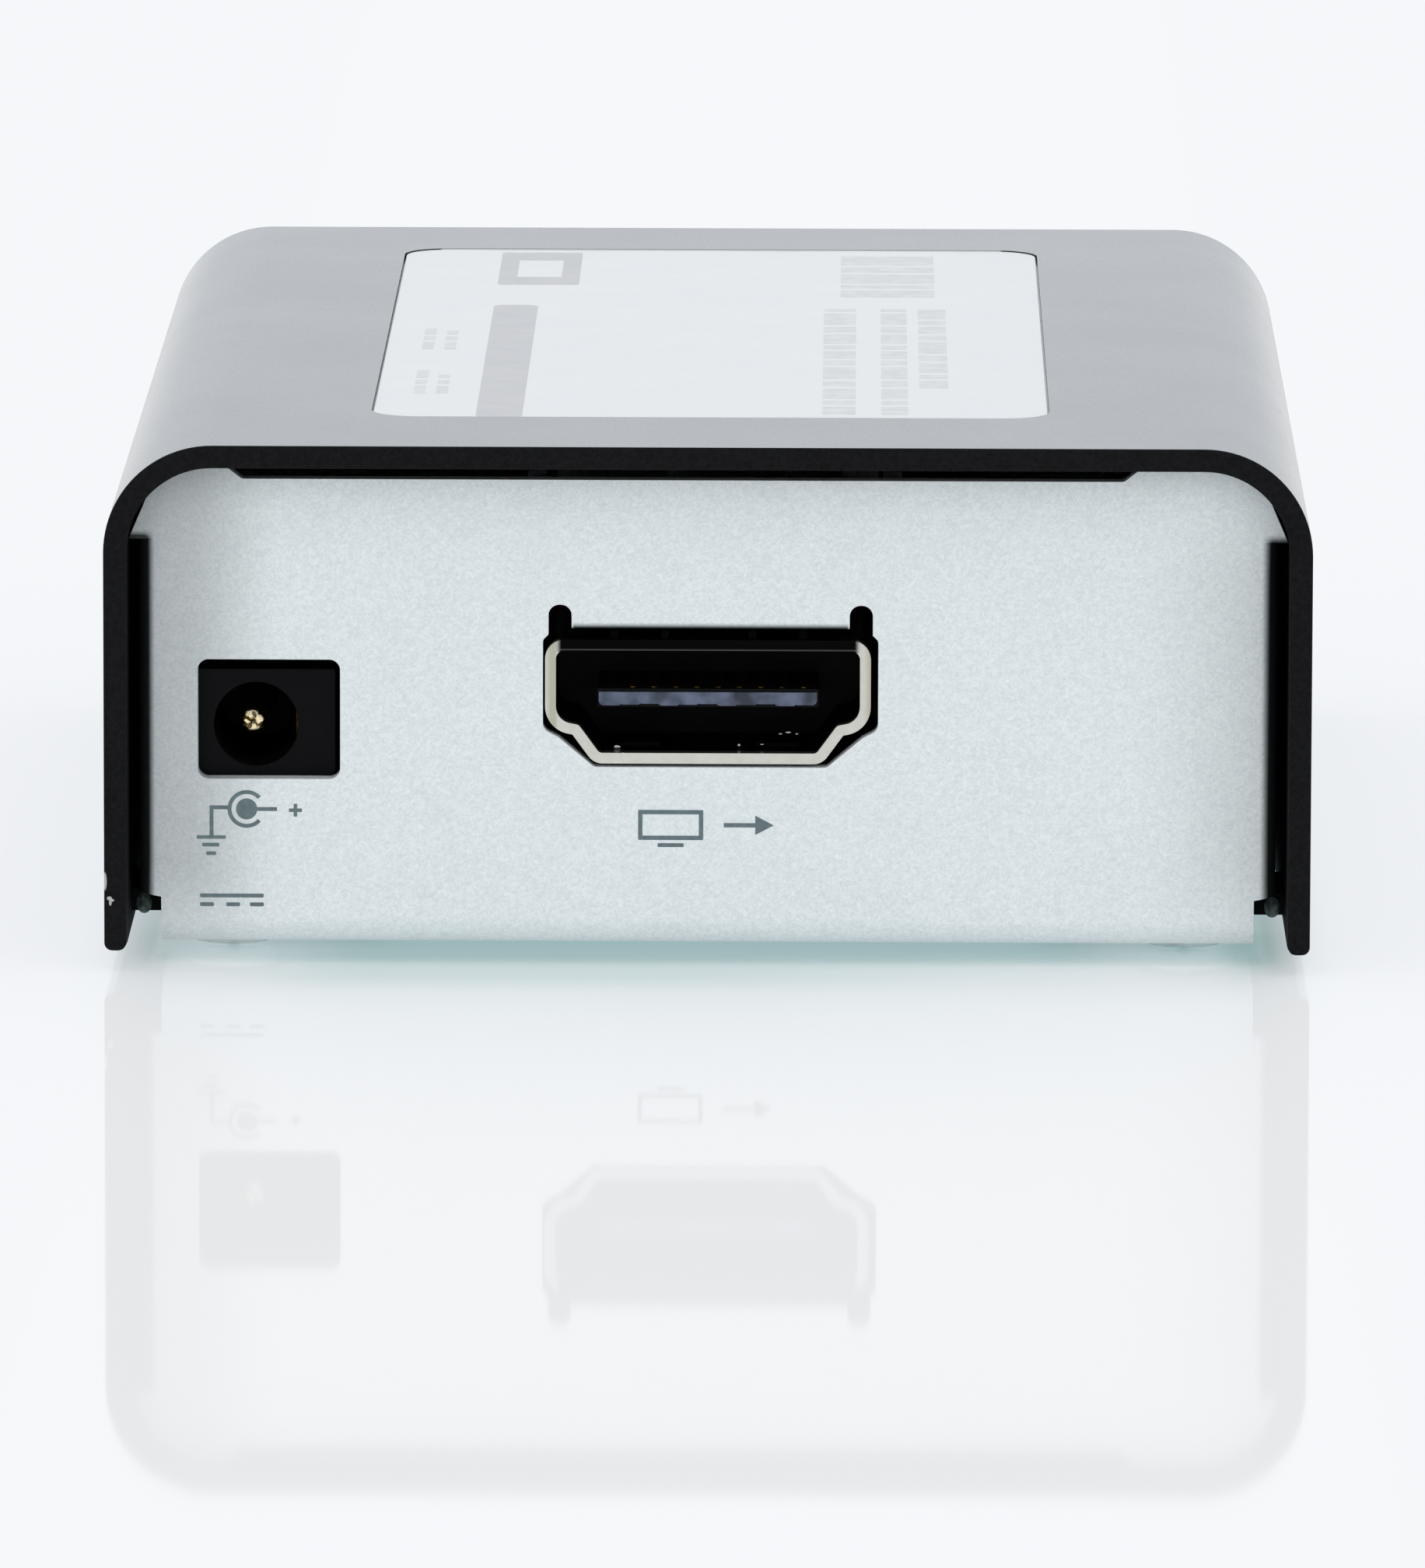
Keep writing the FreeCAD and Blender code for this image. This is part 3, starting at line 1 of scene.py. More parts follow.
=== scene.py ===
# %% [markdown]
# # A small metal video receiver, dressed for its picture
#
# The receiver is a flat box folded from two sheets of steel: a black cover like a U turned
# upside down, and a pale tray that closes its ends. The construction model already holds every
# solid at its real size. This lesson gives each one its finish, and models afresh the pieces
# that show most. Nothing is moved or resized, so the dressed part still fits the solids.

import bmesh
import bpy
import json
import math
from mathutils import Matrix, Vector


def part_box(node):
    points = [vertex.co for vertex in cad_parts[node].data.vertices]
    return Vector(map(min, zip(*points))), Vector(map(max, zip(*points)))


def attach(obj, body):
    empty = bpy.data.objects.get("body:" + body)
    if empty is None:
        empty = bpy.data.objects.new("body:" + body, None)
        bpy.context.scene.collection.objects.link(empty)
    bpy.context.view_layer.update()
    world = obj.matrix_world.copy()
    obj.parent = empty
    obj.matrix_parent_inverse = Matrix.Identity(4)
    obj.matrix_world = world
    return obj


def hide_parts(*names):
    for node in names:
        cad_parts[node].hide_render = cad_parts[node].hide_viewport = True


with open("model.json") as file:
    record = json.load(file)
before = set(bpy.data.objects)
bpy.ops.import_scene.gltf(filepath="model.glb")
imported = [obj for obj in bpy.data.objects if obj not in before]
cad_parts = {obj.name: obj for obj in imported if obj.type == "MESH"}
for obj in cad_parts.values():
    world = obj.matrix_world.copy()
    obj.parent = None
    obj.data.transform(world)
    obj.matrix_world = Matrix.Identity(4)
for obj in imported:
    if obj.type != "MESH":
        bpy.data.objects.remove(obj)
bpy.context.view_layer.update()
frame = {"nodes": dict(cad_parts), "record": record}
print("pieces in the construction model:", len(frame["nodes"]))

# %% [markdown]
# Blender works in metres and this object in millimetres. One small number turns millimetres
# into metres, and one function reads the place of a solid back in millimetres, so that every
# new piece takes its place from the solid that it stands for.

# %% Millimetres
MM = 0.001


def place(node):
    """Low and high corner of a solid, in millimetres."""
    low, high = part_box(node)
    return low / MM, high / MM


cover_low, cover_high = place("top_cover")
tray_low, tray_high = place("chassis_tray")
label_low, label_high = place("label_plate")
print("cover:", [round(v, 2) for v in cover_high - cover_low], "mm")

# %% [markdown]
# A material is a small network of nodes. Wiring arithmetic by hand makes long, hard-to-read
# scripts, so one class wraps a socket and lets Python's own operators add the Math nodes.
# Colours are mixed by a Mix node, because arithmetic would turn them grey.


# %% Shader arithmetic
class Signal:
    """One output in a network of nodes. Sums and products of signals add Math nodes."""

    def __init__(self, wiring, socket):
        self.wiring = wiring
        self.socket = socket

    def math(self, operation, first, second):
        return self.wiring.node("ShaderNodeMath", {"operation": operation}, {0: first, 1: second})

    def __add__(self, other):
        return self.math("ADD", self, other)

    __radd__ = __add__

    def __mul__(self, other):
        return self.math("MULTIPLY", self, other)

    __rmul__ = __mul__

    def __sub__(self, other):
        return self.math("SUBTRACT", self, other)

    def __rsub__(self, other):
        return self.math("SUBTRACT", other, self)

    def size(self):
        """The value without its sign."""
        return self.math("ABSOLUTE", self, 0.0)

    def greater(self, other):
        return self.math("MAXIMUM", self, other)

    def beyond(self, level):
        """How far it is above a level, and 0 below that."""
        return (self - level).greater(0.0)

    def ramp(self, low, high):
        """0 below one value and 1 above another, with a soft step between them."""
        settings = {"interpolation_type": "SMOOTHSTEP"}
        return self.wiring.node("ShaderNodeMapRange", settings, {0: self, 1: low, 2: high})

    def hill(self, foot, top, edge, end):
        """Rises from 0 to 1 between the first two values and falls between the last two."""
        return self.ramp(foot, top) * (1 - self.ramp(edge, end))


class Wiring:
    """The node network of a material or of the world."""

    def __init__(self, tree):
        self.tree = tree

    def node(self, kind, settings, values, output=0):
        made = self.tree.nodes.new(kind)
        for setting, value in settings.items():
            setattr(made, setting, value)
        for socket, value in values.items():
            if isinstance(value, Signal):
                self.tree.links.new(value.socket, made.inputs[socket])
            else:
                made.inputs[socket].default_value = value
        return Signal(self, made.outputs[output])

    def blend(self, factor, first, second):
        """A colour between two others."""
        colours = {0: factor, 6: first, 7: second}
        return self.node("ShaderNodeMix", {"data_type": "RGBA"}, colours, 2)

    def part_of(self, vector, axis):
        return self.node("ShaderNodeSeparateXYZ", {}, {0: vector}, axis)

    def mix_shaders(self, factor, first, second):
        return self.node("ShaderNodeMixShader", {}, {0: factor, 1: first, 2: second})

    def is_ray(self, kind):
        """1 for rays of one kind, such as those from the camera, and 0 for the others."""
        return self.node("ShaderNodeLightPath", {}, {}, f"Is {kind} Ray")

    def seen_directly(self):
        """1 where the camera or a mirror looks, and 0 for the light that falls on things."""
        either = self.is_ray("Camera").greater(self.is_ray("Glossy"))
        return either.greater(self.is_ray("Transmission"))

    def show(self, shader, output):
        """Makes a shader the one that the network's output shows."""
        self.tree.links.new(shader.socket, self.tree.nodes[output].inputs["Surface"])


class Finish(Wiring):
    """A material built round one Principled shader, whose constants go on its own sockets."""

    def __init__(self, name, **constants):
        self.material = bpy.data.materials.new(name)
        self.material.use_nodes = True
        super().__init__(self.material.node_tree)
        self.shader = self.tree.nodes["Principled BSDF"]
        for socket, value in constants.items():
            self.shader.inputs[socket.replace("_", " ")].default_value = value

    def feed(self, socket, signal):
        self.tree.links.new(signal.socket, self.shader.inputs[socket])

    def millimetres(self):
        """The surface's own coordinates, in millimetres."""
        where = self.node("ShaderNodeTexCoord", {}, {}, "Object")
        scaled = {"operation": "SCALE"}
        return self.node("ShaderNodeVectorMath", scaled, {0: where, "Scale": 1 / MM})

    def noise(self, size):
        """Soft random patches of about that size in millimetres, from 0 to 1."""
        values = {"Vector": self.millimetres(), "Scale": 1 / size}
        return self.node("ShaderNodeTexNoise", {}, values, "Fac")

    def flakes(self, size):
        """Small cells, each with one random brightness from 0 to 1."""
        values = {"Vector": self.millimetres(), "Scale": 1 / size}
        cell = self.node("ShaderNodeTexVoronoi", {}, values, "Color")
        return self.node("ShaderNodeSeparateColor", {}, {0: cell}, "Red")

    def bump(self, height, distance):
        """Tilts the shading as a relief of that height in millimetres would."""
        values = {"Height": height, "Distance": distance * MM, "Strength": 1.0}
        self.feed("Normal", self.node("ShaderNodeBump", {}, values))


def tint(red, green, blue):
    """A colour as a screen shows it, 0 to 255, turned into the light that it stands for."""
    def linear(level):
        share = level / 255
        return share / 12.92 if share <= 0.04045 else ((share + 0.055) / 1.055) ** 2.4

    return (linear(red), linear(green), linear(blue), 1.0)


print("mid grey as light:", round(tint(128, 128, 128)[0], 3))

# %% [markdown]
# The cover's paint is really black. It looks light grey in the picture because the camera looks
# along it at nine degrees, and any smooth coat mirrors its surroundings at so flat an angle. So
# the paint is given its true dark colour and a satin coat, and the shader's own gloss does the
# rest. A pale colour would look right from this one place and wrong from all others. The inside
# of the cover and its cut ends got less paint and are dull, so the coat is left off there. The
# rear wall of the label's recess is painted pale, so that it shows no dark line. At the lower left
# front edge the paint was knocked, and bare metal shines through a few small spots, each of them
# a row of a table.

# %% Cover paint
COVER_RADIUS = 5.0
BEND_MIDDLE_X = 22.75
BEND_MIDDLE_Z = 19.5
BEND_SHADE = 3.5
SKIN_DEPTH = 0.5
END_FACE = 39.5
RIM_REAR = 31.1
RIM_SIDE = 15.7
RIM_HEIGHTS = (24.1, 24.15, 24.485, 24.495)
# Each chip's middle, across and up, and its half width and half height.
CHIPS = [
    (-27.71, 4.24, 0.09, 0.42),
    (-27.5, 3.45, 0.12, 0.09),
    (-27.4, 3.36, 0.12, 0.07),
    (-27.46, 3.24, 0.06, 0.13),
]
cover_paint = Finish("cover_paint", IOR=1.22, Coat_Roughness=0.12, Coat_IOR=1.29)
where = cover_paint.millimetres()
sideways = cover_paint.part_of(where, "X")
rearward = cover_paint.part_of(where, "Y")
up = cover_paint.part_of(where, "Z")
across = sideways.size()


def squared(first, second):
    return first * first + second * second


from_bend = squared(across.beyond(BEND_MIDDLE_X), up.beyond(BEND_MIDDLE_Z))
skin = COVER_RADIUS - SKIN_DEPTH
outside = from_bend.ramp(skin**2, (skin + 0.1) ** 2)
shown = outside * (1 - rearward.size().ramp(END_FACE - 0.1, END_FACE - 0.02))
bend = across.ramp(BEND_MIDDLE_X, BEND_MIDDLE_X + BEND_SHADE)
speckle = cover_paint.flakes(0.14)
mottle = cover_paint.noise(9.0)
rim = rearward.hill(RIM_REAR - 0.06, RIM_REAR - 0.02, RIM_REAR + 0.08, RIM_REAR + 0.12)
# Painted pale: the recess's rear wall, so that it shows no dark line.
pale_rim_wall = rim * (1 - across.ramp(RIM_SIDE, RIM_SIDE + 0.1)) * up.hill(*RIM_HEIGHTS)
black = cover_paint.blend(speckle, tint(12, 12, 13), tint(22, 22, 25))
painted = cover_paint.blend(pale_rim_wall, black, tint(190, 194, 198))
bare = 0
for x, z, half_x, half_z in CHIPS:
    from_chip = squared((sideways - x) * (1 / half_x), (up - z) * (1 / half_z))
    bare = bare + (1 - from_chip.ramp(0.5, 1.3))
bare = bare * (1 - rearward.ramp(0.1 - END_FACE, 0.2 - END_FACE))
cover_paint.feed("Base Color", cover_paint.blend(bare, painted, tint(214, 214, 212)))
cover_paint.feed("Metallic", bare)
cover_paint.feed("Roughness", speckle * 0.04 + mottle * 0.1 + (1 - shown) * 0.5 + 0.21)
cover_paint.feed("Coat Weight", shown * (1 - bend * 0.16))
cover_paint.bump(cover_paint.noise(0.3), 0.0025)
print("chips in the cover's paint:", len(CHIPS))

# %% [markdown]
# The tray's paint is a pale silver with fine metal flakes, which glitter a little as grain. Each
# flake is a cell of its own brightness, less than a tenth of a millimetre across. A wide, faint
# mottle under them stands for the paint's uneven thickness. The rolled sides of the panels, deep
# in the gap beside the cover, and the rolled edge over the video socket get little light, so the
# paint is darkened there as painted shade. The cover's walls stand two millimetres further out
# than the panel and shade its sides as well, more on the left than on the right. The even light of
# this studio hardly shows that, so the paint helps with two wide, faint ramps of painted shade,
# which fade towards the bottom.

# %% Panel paint
PANEL_BACK = 3.0
ROLL_START = 25.4
ROLL_END = 26.0
EAR_HEIGHT = 19.95
WINDOW_MIDDLE = 0.12
WINDOW_HALF = 6.38
WINDOW_EDGE = 15.76
LEFT_SHADE = 0.35
RIGHT_SHADE = 0.17
panel_paint = Finish("panel_paint", Metallic=0.2)
small_flakes = panel_paint.flakes(0.09)
large_flakes = panel_paint.flakes(0.2)
grain = small_flakes * 0.55 + large_flakes * 0.25 + panel_paint.noise(3.0) * 0.2
panel_colour = panel_paint.blend(grain, tint(214, 222, 225), tint(242, 247, 249))
where = panel_paint.millimetres()
sideways = panel_paint.part_of(where, "X")
rearward = panel_paint.part_of(where, "Y")
up = panel_paint.part_of(where, "Z")

back = END_FACE - PANEL_BACK
at_end = rearward.size().ramp(back - 0.2, back)
low_down = 1 - up.ramp(EAR_HEIGHT - 0.1, EAR_HEIGHT + 0.4)
# Painted shade on the rolled sides, deep in the gap beside the cover.
painted_roll_shade = sideways.size().ramp(ROLL_START, ROLL_END) * at_end * low_down

just_over = up.hill(WINDOW_EDGE - 0.4, WINDOW_EDGE - 0.3, WINDOW_EDGE, WINDOW_EDGE + 0.36)
from_middle = (sideways - WINDOW_MIDDLE).size()
at_front = 1 - rearward.ramp(-37.0, -36.0)
# Painted shade on the rolled edge over the video socket.
painted_window_shade = just_over * (1 - from_middle.ramp(WINDOW_HALF - 0.1, WINDOW_HALF)) * at_front

# Painted shade beside the cover's walls, fading towards the bottom.
by_left_wall = (0 - sideways).ramp(19.2, 24.2) * LEFT_SHADE
by_right_wall = sideways.ramp(19.0, 25.5) * (1 - up.ramp(17.5, 22.5)) * RIGHT_SHADE
painted_wall_shade = (by_left_wall + by_right_wall) * up.ramp(-1.0, 5.5)
shade = painted_roll_shade + painted_window_shade + painted_wall_shade
panel_paint.feed("Base Color", panel_paint.blend(shade, panel_colour, tint(24, 30, 30)))
panel_paint.feed("Roughness", panel_paint.flakes(0.12) * 0.18 + 0.34)
panel_paint.bump(panel_paint.noise(0.1), 0.003)
print("shade beside the walls, left and right:", LEFT_SHADE, RIGHT_SHADE)

# %% [markdown]
# Moulded plastic, rubber, plated metal and laminate differ in colour and gloss, but they are
# uneven in the same way: the colour drifts a little in soft patches, the gloss drifts with it,
# and a fine relief breaks up the reflections. So one function makes them all from a table, where
# each row gives two colours, the patches' size, the roughness and the relief's height.

# %% Other finishes
MOTTLED = {
    "label_film": ((229, 231, 234), (234, 237, 239), 5.0, 0.34, 0.001, {}),
    "label_ink": ((192, 194, 197), (203, 204, 208), 1.5, 0.4, 0.001, {}),
    "label_faint_ink": ((210, 213, 216), (224, 227, 230), 0.9, 0.4, 0.001, {}),
    "panel_ink": ((88, 106, 112), (100, 118, 123), 0.3, 0.5, 0.002, {}),
    "foot_rubber": ((30, 30, 31), (44, 44, 45), 0.8, 0.75, 0.02, {}),
    "screw_steel": ((206, 207, 208), (228, 229, 230), 0.8, 0.28, 0.004, {"Metallic": 1.0}),
    "standoff_steel": ((200, 195, 180), (216, 212, 200), 1.5, 0.28, 0.004, {"Metallic": 1.0}),
    "insulating_film": ((24, 24, 26), (34, 34, 36), 5.0, 0.35, 0.01, {}),
    "board_laminate": ((14, 72, 42), (26, 94, 58), 0.6, 0.35, 0.01, {}),
    "contact_gold": ((214, 176, 100), (240, 206, 134), 0.5, 0.2, 0.003, {"Metallic": 1.0}),
    "dark_gold": ((40, 30, 18), (92, 74, 42), 0.3, 0.35, 0.003, {"Metallic": 1.0}),
    "socket_plastic": ((4, 4, 6), (9, 9, 12), 1.5, 0.5, 0.01, {"Specular_IOR_Level": 0.1}),
    # Painted reflection: the bluish sheen on the front edge of the tongue.
    "tongue_edge": ((34, 42, 58), (98, 108, 134), 1.1, 0.4, 0.004, {}),
    "weld_metal": ((48, 62, 62), (112, 128, 126), 0.3, 0.5, 0.02, {}),
    "tinned_copper": ((198, 198, 195), (214, 214, 211), 0.8, 0.33, 0.004, {"Metallic": 1.0}),
    "lamp_plastic": ((214, 222, 196), (228, 234, 212), 0.8, 0.22, 0.002, {}),
    "shield_steel": ((206, 205, 200), (224, 223, 219), 3.0, 0.25, 0.004, {"Metallic": 1.0}),
    "chip_plastic": ((32, 32, 34), (44, 44, 46), 0.3, 0.5, 0.006, {}),
    "thermal_pad": ((158, 165, 178), (172, 178, 190), 0.8, 0.7, 0.01, {}),
    "sink_aluminium": ((40, 40, 43), (52, 52, 55), 1.2, 0.4, 0.006, {"Metallic": 0.6}),
    "can_metal": ((214, 214, 212), (230, 230, 228), 2.0, 0.28, 0.004, {"Metallic": 1.0}),
    "transformer_plastic": ((30, 30, 32), (42, 42, 44), 0.8, 0.45, 0.006, {}),
    "ferrite": ((62, 62, 65), (82, 82, 85), 0.4, 0.6, 0.02, {}),
    "ceramic": ((166, 136, 102), (186, 156, 122), 0.5, 0.5, 0.004, {}),
}


def mottled(name, darker, lighter, patch, roughness, relief, constants):
    made = Finish(name, **constants)
    patches = made.noise(patch).ramp(0.3, 0.7)
    made.feed("Base Color", made.blend(patches, tint(*darker), tint(*lighter)))
    made.feed("Roughness", patches * 0.1 + (roughness - 0.05))
    made.bump(made.noise(patch * 0.25), relief)
    return made


finishes = {name: mottled(name, *row) for name, row in MOTTLED.items()}
finishes["cover_paint"] = cover_paint
finishes["panel_paint"] = panel_paint

# %% [markdown]
# The video socket's shell is nickel-plated steel. Only its flared lip catches the light. Behind
# the lip the plating is rougher and painted dark, as painted shade for the inside of the socket,
# and the lip's upper side is painted dark as well, as painted shade where the panel hangs over it,
# but for a painted thin line of light along its lower edge. At both ends the lip's right half is
# duller and warmer than its left half. Soft steps along the depth, the height and the width divide
# the bright part from the dark, so one material serves the whole shell.

# %% Socket nickel
LIP_END = -36.85
LIP_TOP = 14.62
LIP_BEND = 6.75
LIP_INSIDE = 14.79
LEFT_FLANK = (-7.5, -7.2, -7.05, -6.9)
RIGHT_FLANK = (7.15, 7.5)
nickel = Finish("socket_nickel", Metallic=1.0)
where = nickel.millimetres()
sideways = nickel.part_of(where, "X")
up = nickel.part_of(where, "Z")
# Painted shade: the plating behind the lip is darkened, as no light reaches in there.
behind = nickel.part_of(where, "Y").ramp(LIP_END - 0.1, LIP_END + 0.15)
between_bends = 1 - sideways.size().ramp(LIP_BEND, LIP_BEND + 0.3)
# Painted shade on the lip's upper side, under the panel's overhang.
above = up.ramp(LIP_TOP + 0.03, LIP_TOP + 0.08) * between_bends
# A painted line of light at the lower edge of the lip's upper side.
painted_light_line = (1 - (up - LIP_INSIDE).size().ramp(0.01, 0.06)) * 0.1
shade = 1 - (1 - behind) * (1 - above * (1 - painted_light_line))
flank = sideways.hill(*LEFT_FLANK) + sideways.ramp(*RIGHT_FLANK)
bright = nickel.blend(nickel.noise(0.5), tint(206, 205, 194), tint(226, 226, 218))
plating = nickel.blend(flank, bright, tint(190, 190, 170))
nickel.feed("Base Color", nickel.blend(shade, plating, tint(13, 13, 12)))
nickel.feed("Roughness", shade * 0.2 + nickel.noise(0.3) * 0.1 + 0.2)
nickel.bump(nickel.noise(0.15), 0.002)
finishes["socket_nickel"] = nickel
print("finishes:", len(finishes))

# %% [markdown]
# Each solid of the model is given the finish that the record names for it. These solids stay as
# they are. The copies and new pieces below stand in for the ones that the camera sees closely.
# Contacts and springs that lie deep in a socket are given a darker gold, as they get no light.

# %% Dress the solids
for part in frame["record"]["subparts"]:
    solid = frame["nodes"][part["node"]]
    solid.data.materials.clear()
    solid.data.materials.append(finishes[part["material_slot"]].material)
slot_of = {part["node"]: part["material_slot"] for part in frame["record"]["subparts"]}
IN_THE_DARK = [
    "video_socket_upper_contacts",
    "video_socket_lower_contacts",
    "power_jack_leaf_spring",
]
for node in IN_THE_DARK:
    frame["nodes"][node].data.materials[0] = finishes["dark_gold"].material
print("solids dressed:", len(slot_of))

# %% [markdown]
# No real edge is perfectly sharp, and a rendered one only catches light when it has a small
# rounding. A solid of the model is made of loose triangles, so a copy is merged, its flat faces
# are joined again, and its sharp edges get a small rounding.


# %% Soften a copy
SHARP_ANGLE = 30
MERGE = 0.001 * MM


def to_mesh(shape, name):
    mesh = bpy.data.meshes.new(name)
    shape.to_mesh(mesh)
    shape.free()
    return mesh


def finish_piece(name, shape, slot, finish=None):
    """Puts a shape in the scene as a piece that rides with the part."""
    piece = bpy.data.objects.new(name, to_mesh(shape, name))
    bpy.context.scene.collection.objects.link(piece)
    piece.data.materials.append(finishes[finish or slot].material)
    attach(piece, "root")
    return piece


def round_off(shape, geom, radius, segments, affect="EDGES"):
    """Rounds some edges or corners of a shape."""
    bmesh.ops.bevel(
        shape,
        geom=geom,
        offset=radius * MM,
        offset_type="OFFSET",
        affect=affect,
        segments=segments,
        profile=0.5,
        material=-1,
        clamp_overlap=True,
    )


def sharp_edges(shape):
    return [
        edge
        for edge in shape.edges
        if edge.is_manifold and edge.calc_face_angle(0) > math.radians(SHARP_ANGLE)
    ]


def edges_between(shape, low, high):
    """The sharp edges that lie wholly inside a box, in millimetres."""
    return [
        edge
        for edge in sharp_edges(shape)
        if all(
            low[axis] < vert.co[axis] / MM < high[axis] for vert in edge.verts for axis in range(3)
        )
    ]


def soften(shape, radius, segments=2):
    """Rounds every sharp edge, and smooths the shading of the rest."""
    round_off(shape, sharp_edges(shape), radius, segments)
    for face in shape.faces:
        face.smooth = True


def cleaned(mesh, angle):
    """A shape from a mesh, with doubles merged and faces joined that turn by less than that."""
    shape = bmesh.new()
    shape.from_mesh(mesh)
    bmesh.ops.remove_doubles(shape, verts=shape.verts, dist=MERGE)
    bmesh.ops.dissolve_limit(
        shape, angle_limit=math.radians(angle), verts=shape.verts, edges=shape.edges
    )
    return shape


def smooth_shading(piece):
    """Keeps flat faces flat where they meet a rounded edge."""
    weights = piece.modifiers.new("flat_faces", "WEIGHTED_NORMAL")
    weights.keep_sharp = True


def soft_copy(node, radius, rolled=()):
    """A copy of a solid with its edges rounded, which stands in for it."""
    shape = cleaned(frame["nodes"][node].data, 0.5)
    for low, high, roll in rolled:
        round_off(shape, edges_between(shape, low, high), roll, 5)
    soften(shape, radius)
    piece = finish_piece(f"{node}_soft", shape, slot_of[node])
    smooth_shading(piece)
    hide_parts(node)
    return piece


# Each solid's rounding, and any edges with a roll of their own: the box round them and its size.
SOFT_EDGES = {
    "chassis_tray": 0.07,
    "rubber_feet": 0.25,
    "video_socket_shell": 0.13,
    "video_socket_insulator": 0.08,
    "power_jack_housing": 0.05,
    "network_jack_shield": 0.06,
    "network_jack_insert": 0.06,
    "network_jack_lamps": 0.1,
}
ROLLED = {"chassis_tray": [((-6.35, -37.6, 15.6), (6.65, -37.4, 15.85), 0.35)]}
for node, radius in SOFT_EDGES.items():
    piece = soft_copy(node, radius, ROLLED.get(node, ()))
    print(node, len(piece.data.polygons), "faces")

# %% [markdown]
# The cover is a sheet 1.05 mm thick. It is modelled the way that it is made: the outline of the
# bend is drawn along the box as a thin skin, and only then does it get its thickness. Rounding
# the two upper corners of the outline gives the long bends.


# %% Cover skin
def wire(points):
    """A shape that is only a line through some points, in millimetres."""
    shape = bmesh.new()
    verts = [shape.verts.new(Vector(point) * MM) for point in points]
    for first, second in zip(verts, verts[1:]):
        shape.edges.new((first, second))
    return shape, verts


COVER_WALL = 1.05
wall_x = cover_high.x
front_y = cover_low.y
base_z = tray_low.z
top_z = cover_high.z
outline = [
    (-wall_x, front_y, base_z),
    (-wall_x, front_y, top_z),
    (wall_x, front_y, top_z),
    (wall_x, front_y, base_z),
]
cover_shape, corners = wire(outline)
round_off(cover_shape, corners[1:3], COVER_RADIUS, 24, "VERTICES")
drawn = bmesh.ops.extrude_edge_only(cover_shape, edges=cover_shape.edges[:])
moved = [item for item in drawn["geom"] if isinstance(item, bmesh.types.BMVert)]
length = cover_high.y - cover_low.y
bmesh.ops.translate(cover_shape, verts=moved, vec=(0, length * MM, 0))
bmesh.ops.recalc_face_normals(cover_shape, faces=cover_shape.faces)
highest = max(cover_shape.faces, key=lambda face: face.calc_center_median().z)
if highest.normal.z < 0:
    bmesh.ops.reverse_faces(cover_shape, faces=cover_shape.faces)
cover = finish_piece("cover_sheet", cover_shape, "cover_paint")
wall = cover.modifiers.new("wall", "SOLIDIFY")
wall.thickness = COVER_WALL * MM
wall.offset = -1
wall.use_even_offset = True
print("cover skin:", len(cover.data.polygons), "strips")

# %% [markdown]
# Sheet metal gets its holes and tabs by punching and welding. Here a block or a cylinder is cut
# out of a piece, or joined to it, by an exact Boolean. Each tool is thrown away after its cut.


# %% Blocks and cuts
def plain_block(low, high):
    shape = bmesh.new()
    low, high = Vector(low), Vector(high)
    size, middle = high - low, (high + low) / 2
    matrix = Matrix.Translation(middle * MM) @ Matrix.Diagonal((*(size * MM), 1))
    bmesh.ops.create_cube(shape, size=1, matrix=matrix)
    return shape


def upright_edges(shape):
    return [edge for edge in shape.edges if abs(edge.verts[0].co.z - edge.verts[1].co.z) > 0]


def rounded_block(low, high, radius, segments=12):
    """A block with its upright edges rounded."""
    shape = plain_block(low, high)
    round_off(shape, upright_edges(shape), radius, segments)
    return shape


def apply_modifiers(piece):
    """Fixes a piece's modifiers into its mesh."""
    seen = piece.evaluated_get(bpy.context.evaluated_depsgraph_get())
    mesh = bpy.data.meshes.new_from_object(seen)
    piece.modifiers.clear()
    piece.data = mesh


def combine(piece, shape, operation):
    """Cuts a shape out of a piece, or joins it to the piece."""
    tool = bpy.data.objects.new("tool", to_mesh(shape, "tool"))
    bpy.context.scene.collection.objects.link(tool)
    joint = piece.modifiers.new("joint", "BOOLEAN")
    joint.operation = operation
    joint.solver = "EXACT"
    joint.object = tool
    apply_modifiers(piece)
    bpy.data.objects.remove(tool)


def join(shape, part):
    """Adds a finished shape to another one, with no change to either."""
    mesh = to_mesh(part, "part")
    shape.from_mesh(mesh)
    bpy.data.meshes.remove(mesh)


# %% [markdown]
# Four tabs, welded inside the walls, take the screws from below. They are blocks with rounded
# tips, joined to the sheet, and four cylinders cut the tapped holes.

# %% Tabs and holes
TAB_MIDDLE = 31.3
TAB_HALF = 3.0
TAB_TIP_X = 19.1
TAB_CORNER = 1.0
SCREW_X = 22.1
SCREW_HOLE = 1.3
TRAY_SHEET = 1.0
tab_z = base_z + TRAY_SHEET
apply_modifiers(cover)
for side in (-1, 1):
    for end in (-1, 1):
        inner, outer = sorted((side * TAB_TIP_X, side * (wall_x - COVER_WALL / 2)))
        low = (inner, end * TAB_MIDDLE - TAB_HALF, tab_z)
        high = (outer, end * TAB_MIDDLE + TAB_HALF, tab_z + COVER_WALL)
        tab = plain_block(low, high)
        tips = [edge for edge in upright_edges(tab) if abs(edge.verts[0].co.x) < SCREW_X * MM]
        round_off(tab, tips, TAB_CORNER, 5)
        combine(cover, tab, "UNION")

